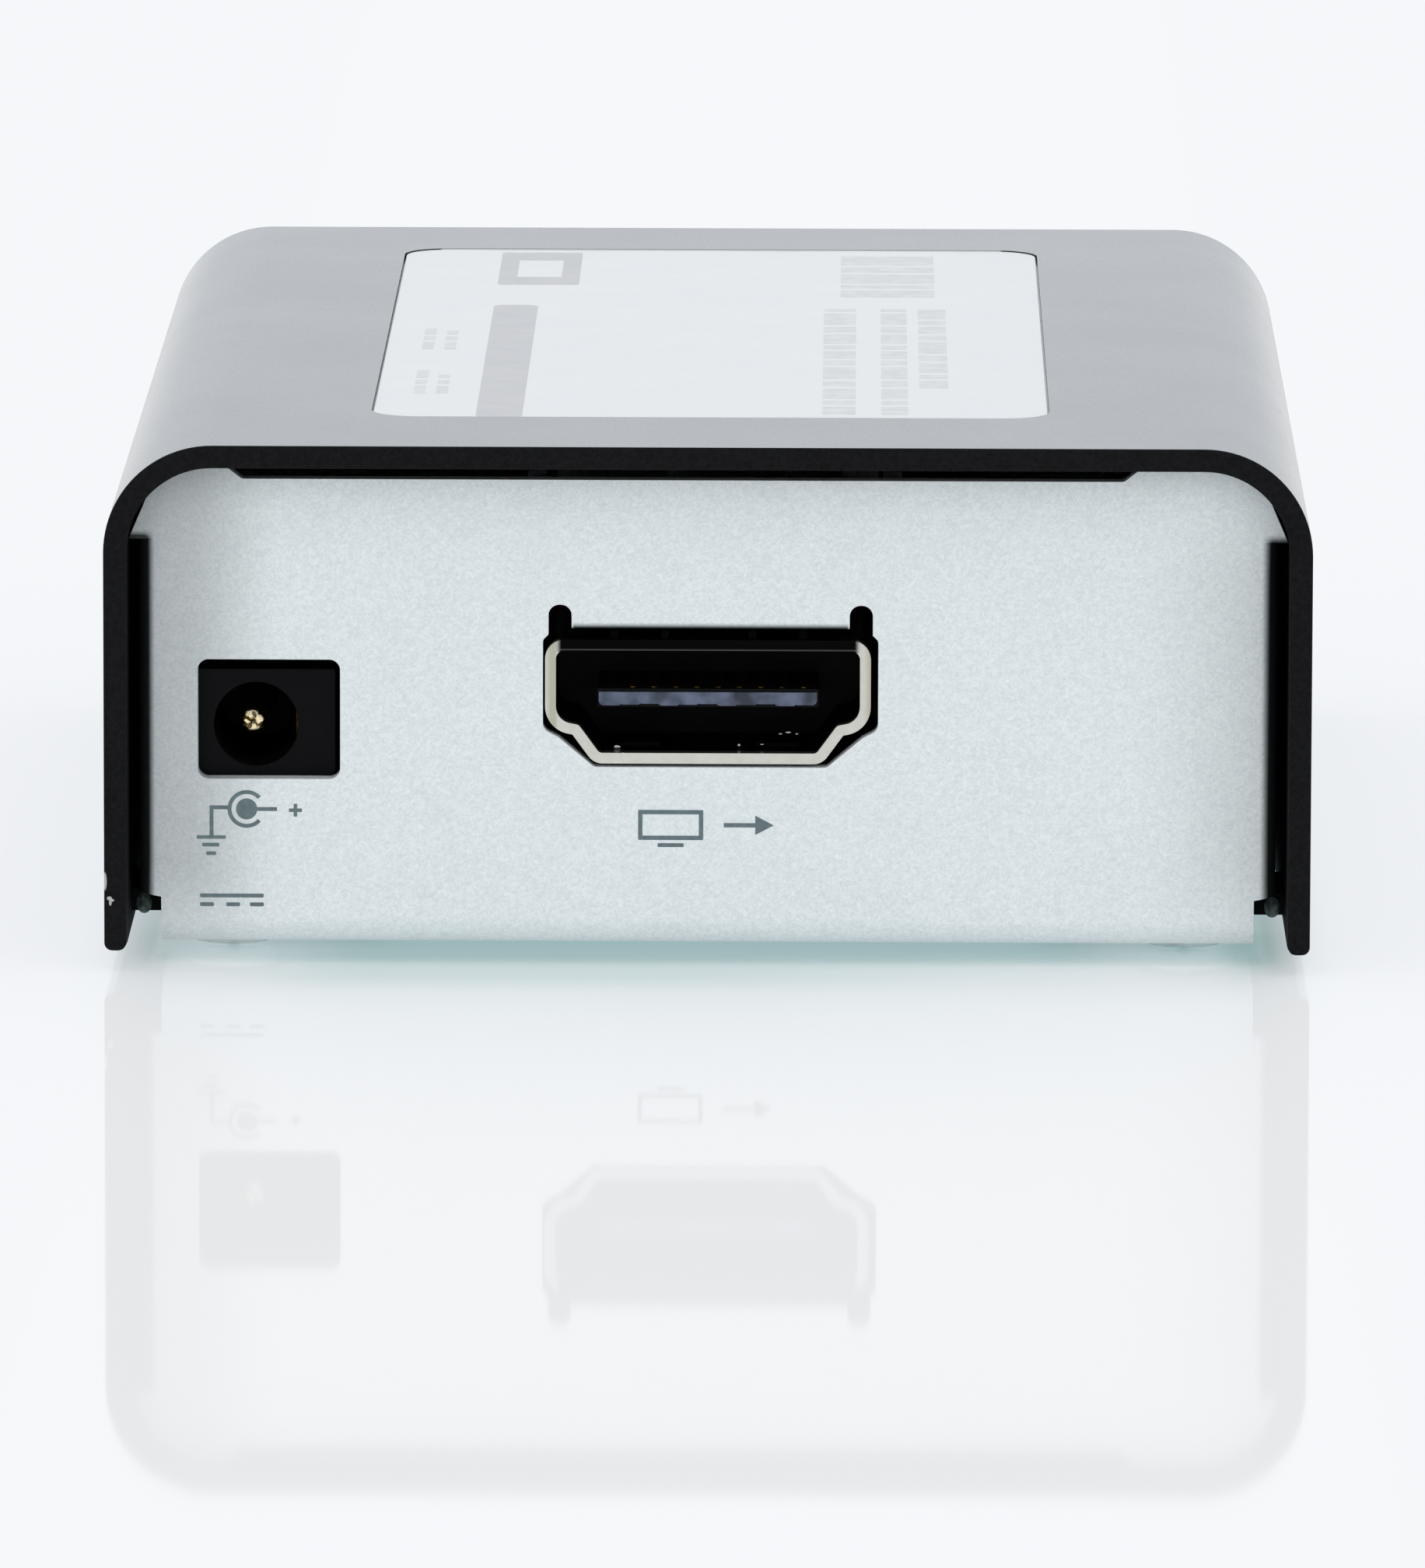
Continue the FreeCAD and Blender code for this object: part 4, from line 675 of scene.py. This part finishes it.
screw_places = [(x * SCREW_X, y * TAB_MIDDLE) for x in (-1, 1) for y in (-1, 1)]
holes = bmesh.new()
for x, y in screw_places:
    middle = Matrix.Translation(Vector((x, y, tab_z + COVER_WALL / 2)) * MM)
    bmesh.ops.create_cone(
        holes,
        cap_ends=True,
        segments=32,
        radius1=SCREW_HOLE * MM,
        radius2=SCREW_HOLE * MM,
        depth=3 * MM,
        matrix=middle,
    )
combine(cover, holes, "DIFFERENCE")
print("cover with tabs:", len(cover.data.polygons), "faces")

# %% [markdown]
# The paint runs thick over cut edges and rounds them. The lower ends of the walls are rounder
# than the rest, because the sheet is cut there before it is bent and the burr is ground off.

# %% Cover edges
WALL_END_RADIUS = 0.36
EDGE_RADIUS = 0.16
shape = cleaned(cover.data, 0.2)
wall_ends = [
    edge
    for edge in shape.edges
    if all(vert.co.z < (base_z + 0.01) * MM for vert in edge.verts)
    and abs(edge.verts[0].co.y - edge.verts[1].co.y) > 2 * MM
]
round_off(shape, wall_ends, WALL_END_RADIUS, 5)
soften(shape, EDGE_RADIUS, segments=3)
shape.to_mesh(cover.data)
shape.free()
print("cover with rounded edges:", len(cover.data.polygons), "faces")

# %% [markdown]
# The label lies in a recess pressed three tenths of a millimetre into the cover. The recess is a
# rounded block cut out of the sheet, and it is cut last, because its rim is crisp. It is a little
# wider than the label, so a fine dark line shows at the label's sides. The label is a thin plate
# with round corners.

# %% Recess and label
RECESS_GAP = 0.07
REAR_GAP = 0.01
RECESS_DEPTH = 0.3
LABEL_CORNER = 2.2
LABEL_EDGE = 0.06
recess_low = (label_low.x - RECESS_GAP, label_low.y - RECESS_GAP, top_z - RECESS_DEPTH)
recess_high = (label_high.x + RECESS_GAP, label_high.y + REAR_GAP, top_z + 1)
recess = rounded_block(recess_low, recess_high, LABEL_CORNER + REAR_GAP)
combine(cover, recess, "DIFFERENCE")
smooth_shading(cover)
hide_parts("top_cover")
print("cover:", len(cover.data.polygons), "faces")

label_shape = rounded_block(label_low, label_high, LABEL_CORNER)
soften(label_shape, LABEL_EDGE)
label = finish_piece("label_sheet", label_shape, "label_film")
smooth_shading(label)
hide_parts("label_plate")

# %% [markdown]
# Prints are ink, thinner than the eye can see. Each is drawn flat, as bars, discs and bands,
# given a hundredth of a millimetre, and then laid on the label or stood against the front panel.
# The real prints name things and makers. These keep only the general signs that anyone may use,
# and plain bars where words were.

# %% Ink
INK = 0.01
LABEL_FACE = Matrix.Translation(Vector((0, 0, label_high.z)) * MM)
PANEL_FACE = Matrix.Translation(Vector((0, tray_low.y, 0)) * MM) @ Matrix.Rotation(
    math.radians(90), 4, "X"
)


def bar(shape, left, low, right, high, radius):
    """A flat bar between four edges, with round corners where a radius is given."""
    corner, opposite = Vector((left, low, 0)), Vector((right, high, 0))
    size, middle = opposite - corner, (opposite + corner) / 2
    matrix = Matrix.Translation(middle * MM) @ Matrix.Diagonal((size.x * MM, size.y * MM, 1, 1))
    made = bmesh.ops.create_grid(shape, x_segments=1, y_segments=1, size=0.5, matrix=matrix)
    if radius:
        round_off(shape, made["verts"], radius, 6, "VERTICES")


def bars(shape, rows):
    for row in rows:
        bar(shape, *row)


def disc(shape, centre, radius):
    matrix = Matrix.Translation(Vector((*centre, 0)) * MM)
    bmesh.ops.create_circle(shape, cap_ends=True, segments=40, radius=radius * MM, matrix=matrix)


def band(shape, centre, inner, outer, start, sweep):
    """Part of a flat ring, from a start angle on through a sweep in degrees."""
    centre = Vector((*centre, 0))
    along = Vector((math.cos(math.radians(start)), math.sin(math.radians(start)), 0))
    ends = [shape.verts.new((centre + along * radius) * MM) for radius in (inner, outer)]
    line = shape.edges.new(ends)
    bmesh.ops.spin(
        shape,
        geom=[line, *ends],
        cent=centre * MM,
        axis=(0, 0, 1),
        angle=math.radians(sweep),
        steps=36,
    )


def polygon(shape, points):
    shape.faces.new([shape.verts.new(Vector((*point, 0)) * MM) for point in points])


def lay_ink(name, shape, face, slot, finish):
    """Gives a flat drawing its thickness and lays it on a face of the receiver."""
    bmesh.ops.recalc_face_normals(shape, faces=shape.faces)
    drawn = bmesh.ops.extrude_face_region(shape, geom=shape.faces[:])
    raised = [item for item in drawn["geom"] if isinstance(item, bmesh.types.BMVert)]
    bmesh.ops.translate(shape, verts=raised, vec=(0, 0, 2 * INK * MM))
    bmesh.ops.translate(shape, verts=shape.verts, vec=(0, 0, -INK * MM))
    bmesh.ops.transform(shape, verts=shape.verts, matrix=face)
    bmesh.ops.recalc_face_normals(shape, faces=shape.faces)
    return finish_piece(name, shape, slot, finish)


# %% [markdown]
# The label's print runs along the box, so it reads from the side. Each line of words becomes a
# row of short bars of uneven length, with gaps like those between words. A wide stripe and an
# empty frame stand where the label has its own. Two greys are enough, as the print is pale.

# %% Prints on the label
# Each line's left and right edge, and its near and far end.
LINES = [
    (5.2, 6.75, -28.0, 9.0),
    (7.95, 9.2, -28.0, 9.0),
    (9.75, 11.1, -19.0, 9.0),
    (-14.0, -13.45, -6.0, 1.5),
    (-12.95, -12.4, -6.0, 0.6),
    (-14.0, -13.45, -21.4, -13.4),
    (-12.95, -12.4, -21.4, -15.0),
    (6.0, 10.6, 13.4, 28.9),
]
WORD_LENGTHS = (2.6, 1.3, 3.4, 2.0, 4.1, 1.6)
WORD_GAP = 0.7
WORD_CORNER = 0.12
# Each bar's left, low, right and high edge, and the radius of its corners.
STRIPE_BARS = [(-10.9, label_low.y + 0.1, -8.75, 10.1, 0.6)]
FRAME_BARS = [
    (-10.9, 17.7, -10.0, 29.9, 0.3),
    (-7.8, 17.7, -6.9, 29.9, 0.3),
    (-10.0, 17.7, -7.8, 20.6, 0),
    (-10.0, 27.0, -7.8, 29.9, 0),
]
words = bmesh.new()
for left, right, near, far in LINES:
    start, count = near, 0
    while start <= far - WORD_GAP:
        end = min(start + WORD_LENGTHS[count % len(WORD_LENGTHS)], far)
        bar(words, left, start, right, end, WORD_CORNER)
        start, count = end + WORD_GAP, count + 1
lay_ink("label_lines", words, LABEL_FACE, "label_film", "label_faint_ink")

stripe = bmesh.new()
bars(stripe, STRIPE_BARS)
lay_ink("label_stripe", stripe, LABEL_FACE, "label_film", "label_ink")

frame_sign = bmesh.new()
bars(frame_sign, FRAME_BARS)
lay_ink("label_sign", frame_sign, LABEL_FACE, "label_film", "label_ink")
print("lines on the label:", len(LINES))

# %% [markdown]
# On the front panel are three signs in grey-green ink. Under the power jack is the sign for its
# polarity, a ring round a disc, with leads to a plus and to earth, and below that the line over
# dashes that stands for direct current. Under the video socket is a screen with an arrow out of
# it. Such signs are printed through a screen, so their lines are all about equally thick.

# %% Signs on the panel
STROKE = 0.18
RING = (-21.25, 7.32)
RING_RADIUS = 0.7
RING_START = 42
RING_SWEEP = 276
DISC_RADIUS = 0.49
POLARITY_BARS = [
    (-20.76, 7.23, -19.85, 7.41, 0),
    (-19.3, 7.19, -18.7, 7.35, 0),
    (-19.08, 7.35, -18.92, 7.57, 0),
    (-19.08, 6.97, -18.92, 7.19, 0),
    (-22.96, 7.3, -22.12, 7.48, 0),
    (-22.96, 6.08, -22.78, 7.3, 0),
    (-23.55, 5.92, -22.22, 6.08, 0),
    (-23.3, 5.56, -22.51, 5.73, 0.06),
    (-23.12, 5.16, -22.66, 5.33, 0.06),
]
CURRENT_BARS = [
    (-23.41, 3.18, -20.47, 3.36, 0.05),
    (-23.41, 2.77, -22.77, 2.95, 0.06),
    (-22.2, 2.77, -21.56, 2.95, 0.06),
    (-21.1, 2.77, -20.46, 2.95, 0.06),
]
SCREEN_BARS = [
    (-3.2, 5.95, -3.0, 7.35, 0.05),
    (-0.4, 5.95, -0.2, 7.35, 0.05),
    (-3.0, 7.15, -0.4, 7.35, 0),
    (-3.0, 5.95, -0.4, 6.15, 0),
    (-2.3, 5.62, -1.1, 5.8, 0.05),
    (0.75, 6.55, 2.2, 6.75, 0),
]
ARROW_TIP = [(2.2, 6.2), (3.05, 6.65), (2.2, 7.1)]
polarity = bmesh.new()
disc(polarity, RING, DISC_RADIUS)
band(polarity, RING, RING_RADIUS, RING_RADIUS + STROKE, RING_START, RING_SWEEP)
bars(polarity, POLARITY_BARS)
lay_ink("polarity_sign", polarity, PANEL_FACE, "panel_paint", "panel_ink")

current = bmesh.new()
bars(current, CURRENT_BARS)
lay_ink("direct_current_sign", current, PANEL_FACE, "panel_paint", "panel_ink")

output = bmesh.new()
bars(output, SCREEN_BARS)
polygon(output, ARROW_TIP)
lay_ink("video_out_sign", output, PANEL_FACE, "panel_paint", "panel_ink")
print("bars in the signs:", len(POLARITY_BARS + CURRENT_BARS + SCREEN_BARS))

# %% [markdown]
# The power jack's centre pin is turned from a rod, so it is modelled by spinning its outline. Its
# tip is domed with a small dimple, left by the lathe. Plugs have scratched the gold, which a fine
# relief shows, and small cells of gold painted light and dark stand for painted glints in the dark
# bore.


# %% Jack pin
def turned(profile, centre, axis):
    """Spins pairs of radius and distance about an axis. The profile starts and ends on it."""
    shape = bmesh.new()
    centre, axis = Vector(centre), Vector(axis)
    out = Vector((1, 0, 0))
    verts = [
        shape.verts.new((centre + out * radius + axis * along) * MM) for radius, along in profile
    ]
    edges = [shape.edges.new(pair) for pair in zip(verts, verts[1:])]
    bmesh.ops.spin(
        shape,
        geom=verts + edges,
        cent=centre * MM,
        axis=axis,
        angle=math.tau,
        steps=40,
        use_merge=True,
    )
    bmesh.ops.remove_doubles(shape, verts=shape.verts, dist=MERGE)
    bmesh.ops.recalc_face_normals(shape, faces=shape.faces)
    for face in shape.faces:
        face.smooth = True
    return shape


hammered = Finish("hammered_gold", Metallic=1.0, Roughness=0.2)
# Painted glints: cells of light and dark gold on the pin.
painted_glints = hammered.flakes(0.17).ramp(0.25, 0.75)
hammered.feed("Base Color", hammered.blend(painted_glints, tint(70, 48, 18), tint(255, 240, 196)))
hammered.bump(hammered.noise(0.2), 0.03)
finishes["hammered_gold"] = hammered

PIN_RADIUS = 0.665
SHANK_RADIUS = 0.9
SHANK_START = 8.1
PIN_TIP = [(0, 0.16), (0.07, 0.14), (0.13, 0.04), (0.22, 0.0), (0.4, 0.03), (0.55, 0.13)]
PIN_TIP += [(0.63, 0.27), (PIN_RADIUS, 0.45)]
pin_low, pin_high = place("power_jack_pin")
pin_length = pin_high.y - pin_low.y
pin_profile = PIN_TIP + [(PIN_RADIUS, SHANK_START), (SHANK_RADIUS, SHANK_START)]
pin_profile += [(SHANK_RADIUS, pin_length), (0, pin_length)]
pin_middle = (pin_low + pin_high) / 2
pin_shape = turned(pin_profile, (pin_middle.x, pin_low.y, pin_middle.z), (0, 1, 0))
pin = finish_piece("jack_centre_pin", pin_shape, "contact_gold", "hammered_gold")
smooth_shading(pin)
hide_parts("power_jack_pin")
print("jack pin:", len(pin.data.polygons), "faces")

# %% [markdown]
# The screws in the bottom have low round heads with a cross recess. The rod and head are turned,
# and two crossed blocks are cut out of each head. All four are one piece, as they are alike.

# %% Cover screws
SCREW_HEAD = 2.2
SCREW_ROD = 1.25
SCREW_POINT = 0.3
CROSS_LONG = 1.15
CROSS_NARROW = 0.27
CROSS_DEPTH = 0.45
screw_low, screw_high = place("cover_screws")
head_top = base_z - screw_low.z
screw_length = screw_high.z - screw_low.z
screw_profile = [(0, 0), (1.5, 0.0), (1.95, 0.1), (2.14, 0.3), (SCREW_HEAD, 0.5)]
screw_profile += [(SCREW_HEAD, head_top), (SCREW_ROD, head_top)]
screw_profile += [(SCREW_ROD, screw_length - SCREW_POINT)]
screw_profile += [(SCREW_ROD - SCREW_POINT, screw_length), (0, screw_length)]
all_screws = bmesh.new()
for x, y in screw_places:
    join(all_screws, turned(screw_profile, (x, y, screw_low.z), (0, 0, 1)))
screws = finish_piece("cover_screws_turned", all_screws, "screw_steel")
for half_x, half_y in ((CROSS_LONG, CROSS_NARROW), (CROSS_NARROW, CROSS_LONG)):
    slots = bmesh.new()
    for x, y in screw_places:
        size = Vector((half_x, half_y, CROSS_DEPTH)) * 2
        middle = Vector((x, y, screw_low.z))
        matrix = Matrix.Translation(middle * MM) @ Matrix.Diagonal((*(size * MM), 1))
        bmesh.ops.create_cube(slots, size=1, matrix=matrix)
    combine(screws, slots, "DIFFERENCE")
smooth_shading(screws)
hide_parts("cover_screws")
print("screws:", len(screws.data.polygons), "faces")

# %% [markdown]
# Small things tell that the socket is real. The front edge of the tongue has a bluish sheen,
# painted on a ragged strip as a painted reflection. The springs in the lower wall and the tips of
# the upper contacts show as specks of light in the dark, which are drops of bright metal and dark
# gold that stand for painted highlights. A fine bright seam crosses the lip where the ends of the
# rolled sheet meet.

# %% Socket details
TONGUE_LEFT = -4.94
TONGUE_RIGHT = 4.92
TONGUE_BOTTOM = 12.05
TONGUE_TOP = 12.68
LOBES = 11
LOBE_CORNER = 0.22
OVERLAP = 0.1
UNEVEN_FOOT = 0.04
UNEVEN_FRONT = 0.02
tongue_front = place("video_socket_insulator")[0].y
lobe_width = (TONGUE_RIGHT - TONGUE_LEFT) / LOBES
tongue_shape = bmesh.new()
for count in range(LOBES):
    left = TONGUE_LEFT + count * lobe_width
    foot = TONGUE_BOTTOM + UNEVEN_FOOT * (count % 3)
    front = tongue_front - UNEVEN_FRONT * (1 + count % 2)
    low = (left - OVERLAP, front, foot)
    high = (left + lobe_width + OVERLAP, tongue_front + OVERLAP, TONGUE_TOP)
    lobe = plain_block(low, high)
    lower_corners = [
        edge
        for edge in lobe.edges
        if all(vert.co.z / MM < TONGUE_TOP - 0.1 for vert in edge.verts)
        and abs(edge.verts[0].co.y - edge.verts[1].co.y) > 0.05 * MM
    ]
    round_off(lobe, lower_corners, LOBE_CORNER, 4)
    join(tongue_shape, lobe)
finish_piece("tongue_edge", tongue_shape, "socket_plastic", "tongue_edge")

# Painted highlights: bright drops where the springs catch the light.
# Each glint's middle, across and up, and its half width and half height.
GLINTS = [
    (-4.2, 10.05, 0.17, 0.1),
    (1.43, 10.15, 0.08, 0.09),
    (2.5, 10.2, 0.1, 0.05),
    (3.35, 10.7, 0.1, 0.05),
    (3.7, 10.77, 0.14, 0.06),
    (4.1, 10.7, 0.08, 0.05),
]
GLINT_DEPTH = 0.06
CONTACT_PITCH = 0.985
# Painted highlights: dim gold drops on the tips of the upper contacts.
TIPS = [(-3.48 + count * CONTACT_PITCH, 12.9, 0.13, 0.06) for count in range(9)]
SEAM_X = -3.9
SEAM_HALF = 0.03
SEAM_PROUD = 0.012
SEAM_FOOT = 9.55
SEAM_TOP = 10.0


def specks(name, rows, y, slot, finish):
    """Small bright drops that stand for painted highlights, one for each row of a table, at one
    depth.
    """
    shape = bmesh.new()
    for x, z, half_x, half_z in rows:
        spot = Matrix.Translation(Vector((x, y, z)) * MM)
        size = Matrix.Diagonal((half_x * MM, GLINT_DEPTH * MM, half_z * MM, 1))
        bmesh.ops.create_icosphere(shape, subdivisions=2, radius=1, matrix=spot @ size)
    finish_piece(name, shape, slot, finish)


specks("socket_spring_glints", GLINTS, tongue_front + 0.3, "socket_nickel", "can_metal")
specks("contact_tip_glints", TIPS, tongue_front + 0.1, "contact_gold", "dark_gold")
shell_front = place("video_socket_shell")[0].y
seam_low = (SEAM_X - SEAM_HALF, shell_front - SEAM_PROUD, SEAM_FOOT)
seam_high = (SEAM_X + SEAM_HALF, shell_front + 0.2, SEAM_TOP)
seam_shape = rounded_block(seam_low, seam_high, 0.01, 2)
finish_piece("socket_seam", seam_shape, "socket_nickel", "can_metal")
print("socket details:", LOBES, "lobes,", len(GLINTS), "glints")

# %% [markdown]
# A thin foam gasket behind the rear panel closes the slit round the network jack, so that no
# light shows through the box. It is a plate with a window, cut by a block.

# %% Jack gasket
GASKET_WIDTH = 0.9
GASKET_THICKNESS = 0.8
GASKET_FOOT = 7.75
WINDOW_FOOT = 7.0
SQUEEZE = 0.02
jack_low, jack_high = place("network_jack_shield")
gasket_rear = tray_high.y - TRAY_SHEET - 0.05
gasket_front = gasket_rear - GASKET_THICKNESS
gasket_low = (jack_low.x - GASKET_WIDTH, gasket_front, base_z + GASKET_FOOT)
gasket_high = (jack_high.x + GASKET_WIDTH, gasket_rear, jack_high.z + GASKET_WIDTH)
gasket = finish_piece("jack_gasket", plain_block(gasket_low, gasket_high), "foot_rubber")
window_low = (jack_low.x + SQUEEZE, gasket_rear - 2, base_z + WINDOW_FOOT)
window_high = (jack_high.x - SQUEEZE, gasket_rear + 1, jack_high.z - SQUEEZE)
combine(gasket, plain_block(window_low, window_high), "DIFFERENCE")
print("gasket:", len(gasket.data.polygons), "faces")

# %% [markdown]
# A bead of weld holds each tab in the corner between the tab and the cover's wall. It shows in
# the gap beside the panel. It is a ball, pressed flat against the end of the tab.

# %% Weld beads
BEAD = Vector((0.38, 0.3, 0.5))
BEAD_X = 26.12
BEAD_Z = 2.38
beads = bmesh.new()
for side in (-1, 1):
    for end in (-1, 1):
        centre = Vector((side * BEAD_X, end * (TAB_MIDDLE + TAB_HALF), BEAD_Z))
        matrix = Matrix.Translation(centre * MM) @ Matrix.Diagonal((*(BEAD * MM), 1))
        bmesh.ops.create_icosphere(beads, subdivisions=3, radius=1, matrix=matrix)
weld_beads = finish_piece("weld_beads", beads, "cover_paint", "weld_metal")
print("weld beads:", len(weld_beads.data.polygons), "faces")

# %% [markdown]
# The receiver stands on a sheet of glossy white plastic, lit so evenly, from below as well, that
# it is almost as bright as the background. What the camera and reflections see of it is a soft
# glow plus a little true shading, and a small share is a mirror image. In front of the receiver
# and under it the shadow is slightly green, as under clear plastic, and a band of painted shadow
# lets it fade over a few millimetres before the panel. Towards the walls and beside them the sheet
# is painted brighter, as painted light from lamps at the sides, so less and less of the shadow is
# left, most of all on the left. All other light sees a plain pale floor with a little light of its
# own.

# %% Floor
FLOOR_SIZE = 8
MIRROR_SHARE = 0.14
MIRROR_ROUGHNESS = 0.04
FRINGE_FORWARD = (33.0, 36.0, 39.5, 45.5)
FRINGE_LEFT = (18.0, 24.0)
FRINGE_RIGHT = (-5.0, 22.0)
bpy.ops.mesh.primitive_plane_add(size=FLOOR_SIZE, location=(0, 0, 0))
floor = bpy.context.object
floor.name = "floor"
floor_finish = Finish(
    "floor_sheet",
    Base_Color=tint(193, 200, 201),
    Roughness=0.9,
    Specular_IOR_Level=0,
    Emission_Color=(1, 1, 1, 1),
    Emission_Strength=0.25,
)


def sheet_of(glow_colour, shaded_colour):
    """A sheet that partly glows by itself and partly shows the light that falls on it."""
    glow = floor_finish.node("ShaderNodeEmission", {}, {"Color": glow_colour})
    shaded = floor_finish.node("ShaderNodeBsdfDiffuse", {}, {"Color": shaded_colour})
    return floor_finish.node("ShaderNodeAddShader", {}, {0: glow, 1: shaded})


plain = Signal(floor_finish, floor_finish.shader.outputs[0])
before = sheet_of((0.11, 0.27, 0.26, 1), (0.86, 0.70, 0.73, 1))
beside = sheet_of((0.70, 0.72, 0.76, 1), (0.23, 0.225, 0.20, 1))
fringe = sheet_of((0.092, 0.243, 0.231, 1), (0.722, 0.63, 0.65, 1))
spot = floor_finish.millimetres()
rightward = floor_finish.part_of(spot, "X")
leftward = 0 - rightward
forward = 0 - floor_finish.part_of(spot, "Y")
in_middle = (1 - leftward.ramp(*FRINGE_LEFT)) * (1 - rightward.ramp(*FRINGE_RIGHT))
# Painted shadow: a band in front of the panel that draws the shadow out.
painted_shadow_band = forward.hill(*FRINGE_FORWARD) * in_middle
# Painted light from lamps at the sides, stronger on the left.
painted_left_light = leftward.ramp(15.0, 22.0) * 0.38 + leftward.ramp(24.6, 29.8) * 0.62
painted_right_light = rightward.hill(16.0, 20.5, 23.2, 24.8) * 0.24 + rightward.ramp(24.2, 29.8)
shadow = floor_finish.mix_shaders(painted_shadow_band, before, fringe)
sheet = floor_finish.mix_shaders(painted_left_light + painted_right_light, shadow, beside)
white = {"Color": (1, 1, 1, 1), "Roughness": MIRROR_ROUGHNESS}
mirror = floor_finish.node("ShaderNodeBsdfGlossy", {}, white)
glossy = floor_finish.mix_shaders(MIRROR_SHARE, sheet, mirror)
whole = floor_finish.mix_shaders(floor_finish.seen_directly(), plain, glossy)
floor_finish.show(whole, "Material Output")
floor.data.materials.append(floor_finish.material)
print("floor:", FLOOR_SIZE, "metres wide")

# %% [markdown]
# The studio is a bright room. Its light comes a little more from the front than from behind. For
# the camera the room is plain white, and for mirrors it is white behind the receiver, a little
# dimmer at its sides, and dimmer still in front of it, where the camera stands.

# %% Studio light
world = bpy.data.worlds.new("studio")
bpy.context.scene.world = world
world.use_nodes = True
studio = Wiring(world.node_tree)


def background(colour, strength):
    return studio.node("ShaderNodeBackground", {}, {"Color": colour, "Strength": strength})


direction = studio.node("ShaderNodeTexCoord", {}, {}, "Generated")
depth = studio.part_of(direction, "Y").ramp(-1.0, 0.4)
to_side = studio.part_of(direction, "X").size().ramp(0.05, 0.9)
light = background((1, 1, 1, 1), (1 - depth) * 0.35 + 0.85)
backdrop = background(tint(243, 245, 247), 1.0)
room = background(tint(238, 243, 249), (depth * 0.35 + 0.67) * (1 - to_side * 0.14))
mirrored = studio.mix_shaders(studio.is_ray("Camera"), room, backdrop)
studio.show(studio.mix_shaders(studio.seen_directly(), light, mirrored), "World Output")
print("nodes in the studio's light:", len(world.node_tree.nodes))

# %% [markdown]
# The photograph was taken from three quarters of a metre away with a long lens, nine degrees
# above the floor. Its place and turn were measured from the casing's corners.

# %% Camera
CAMERA_PLACE = Vector((6.67, -782.15, 130.01))
CAMERA_TURN = 0.496
CAMERA_TILT = 80.738
CAMERA_ROLL = 0.151
lens = bpy.data.cameras.new("camera")
lens.lens = 375.95
lens.sensor_width = 36
lens.clip_end = 50
camera = bpy.data.objects.new("camera", lens)
bpy.context.scene.collection.objects.link(camera)
turn = Matrix.Rotation(math.radians(CAMERA_TURN), 4, "Z")
tilt = Matrix.Rotation(math.radians(CAMERA_TILT), 4, "X")
roll = Matrix.Rotation(math.radians(CAMERA_ROLL), 4, "Z")
camera.matrix_world = Matrix.Translation(CAMERA_PLACE * MM) @ turn @ tilt @ roll
bpy.context.scene.camera = camera
bpy.context.scene.view_settings.view_transform = "Standard"
print("camera to receiver:", round(CAMERA_PLACE.length), "mm")
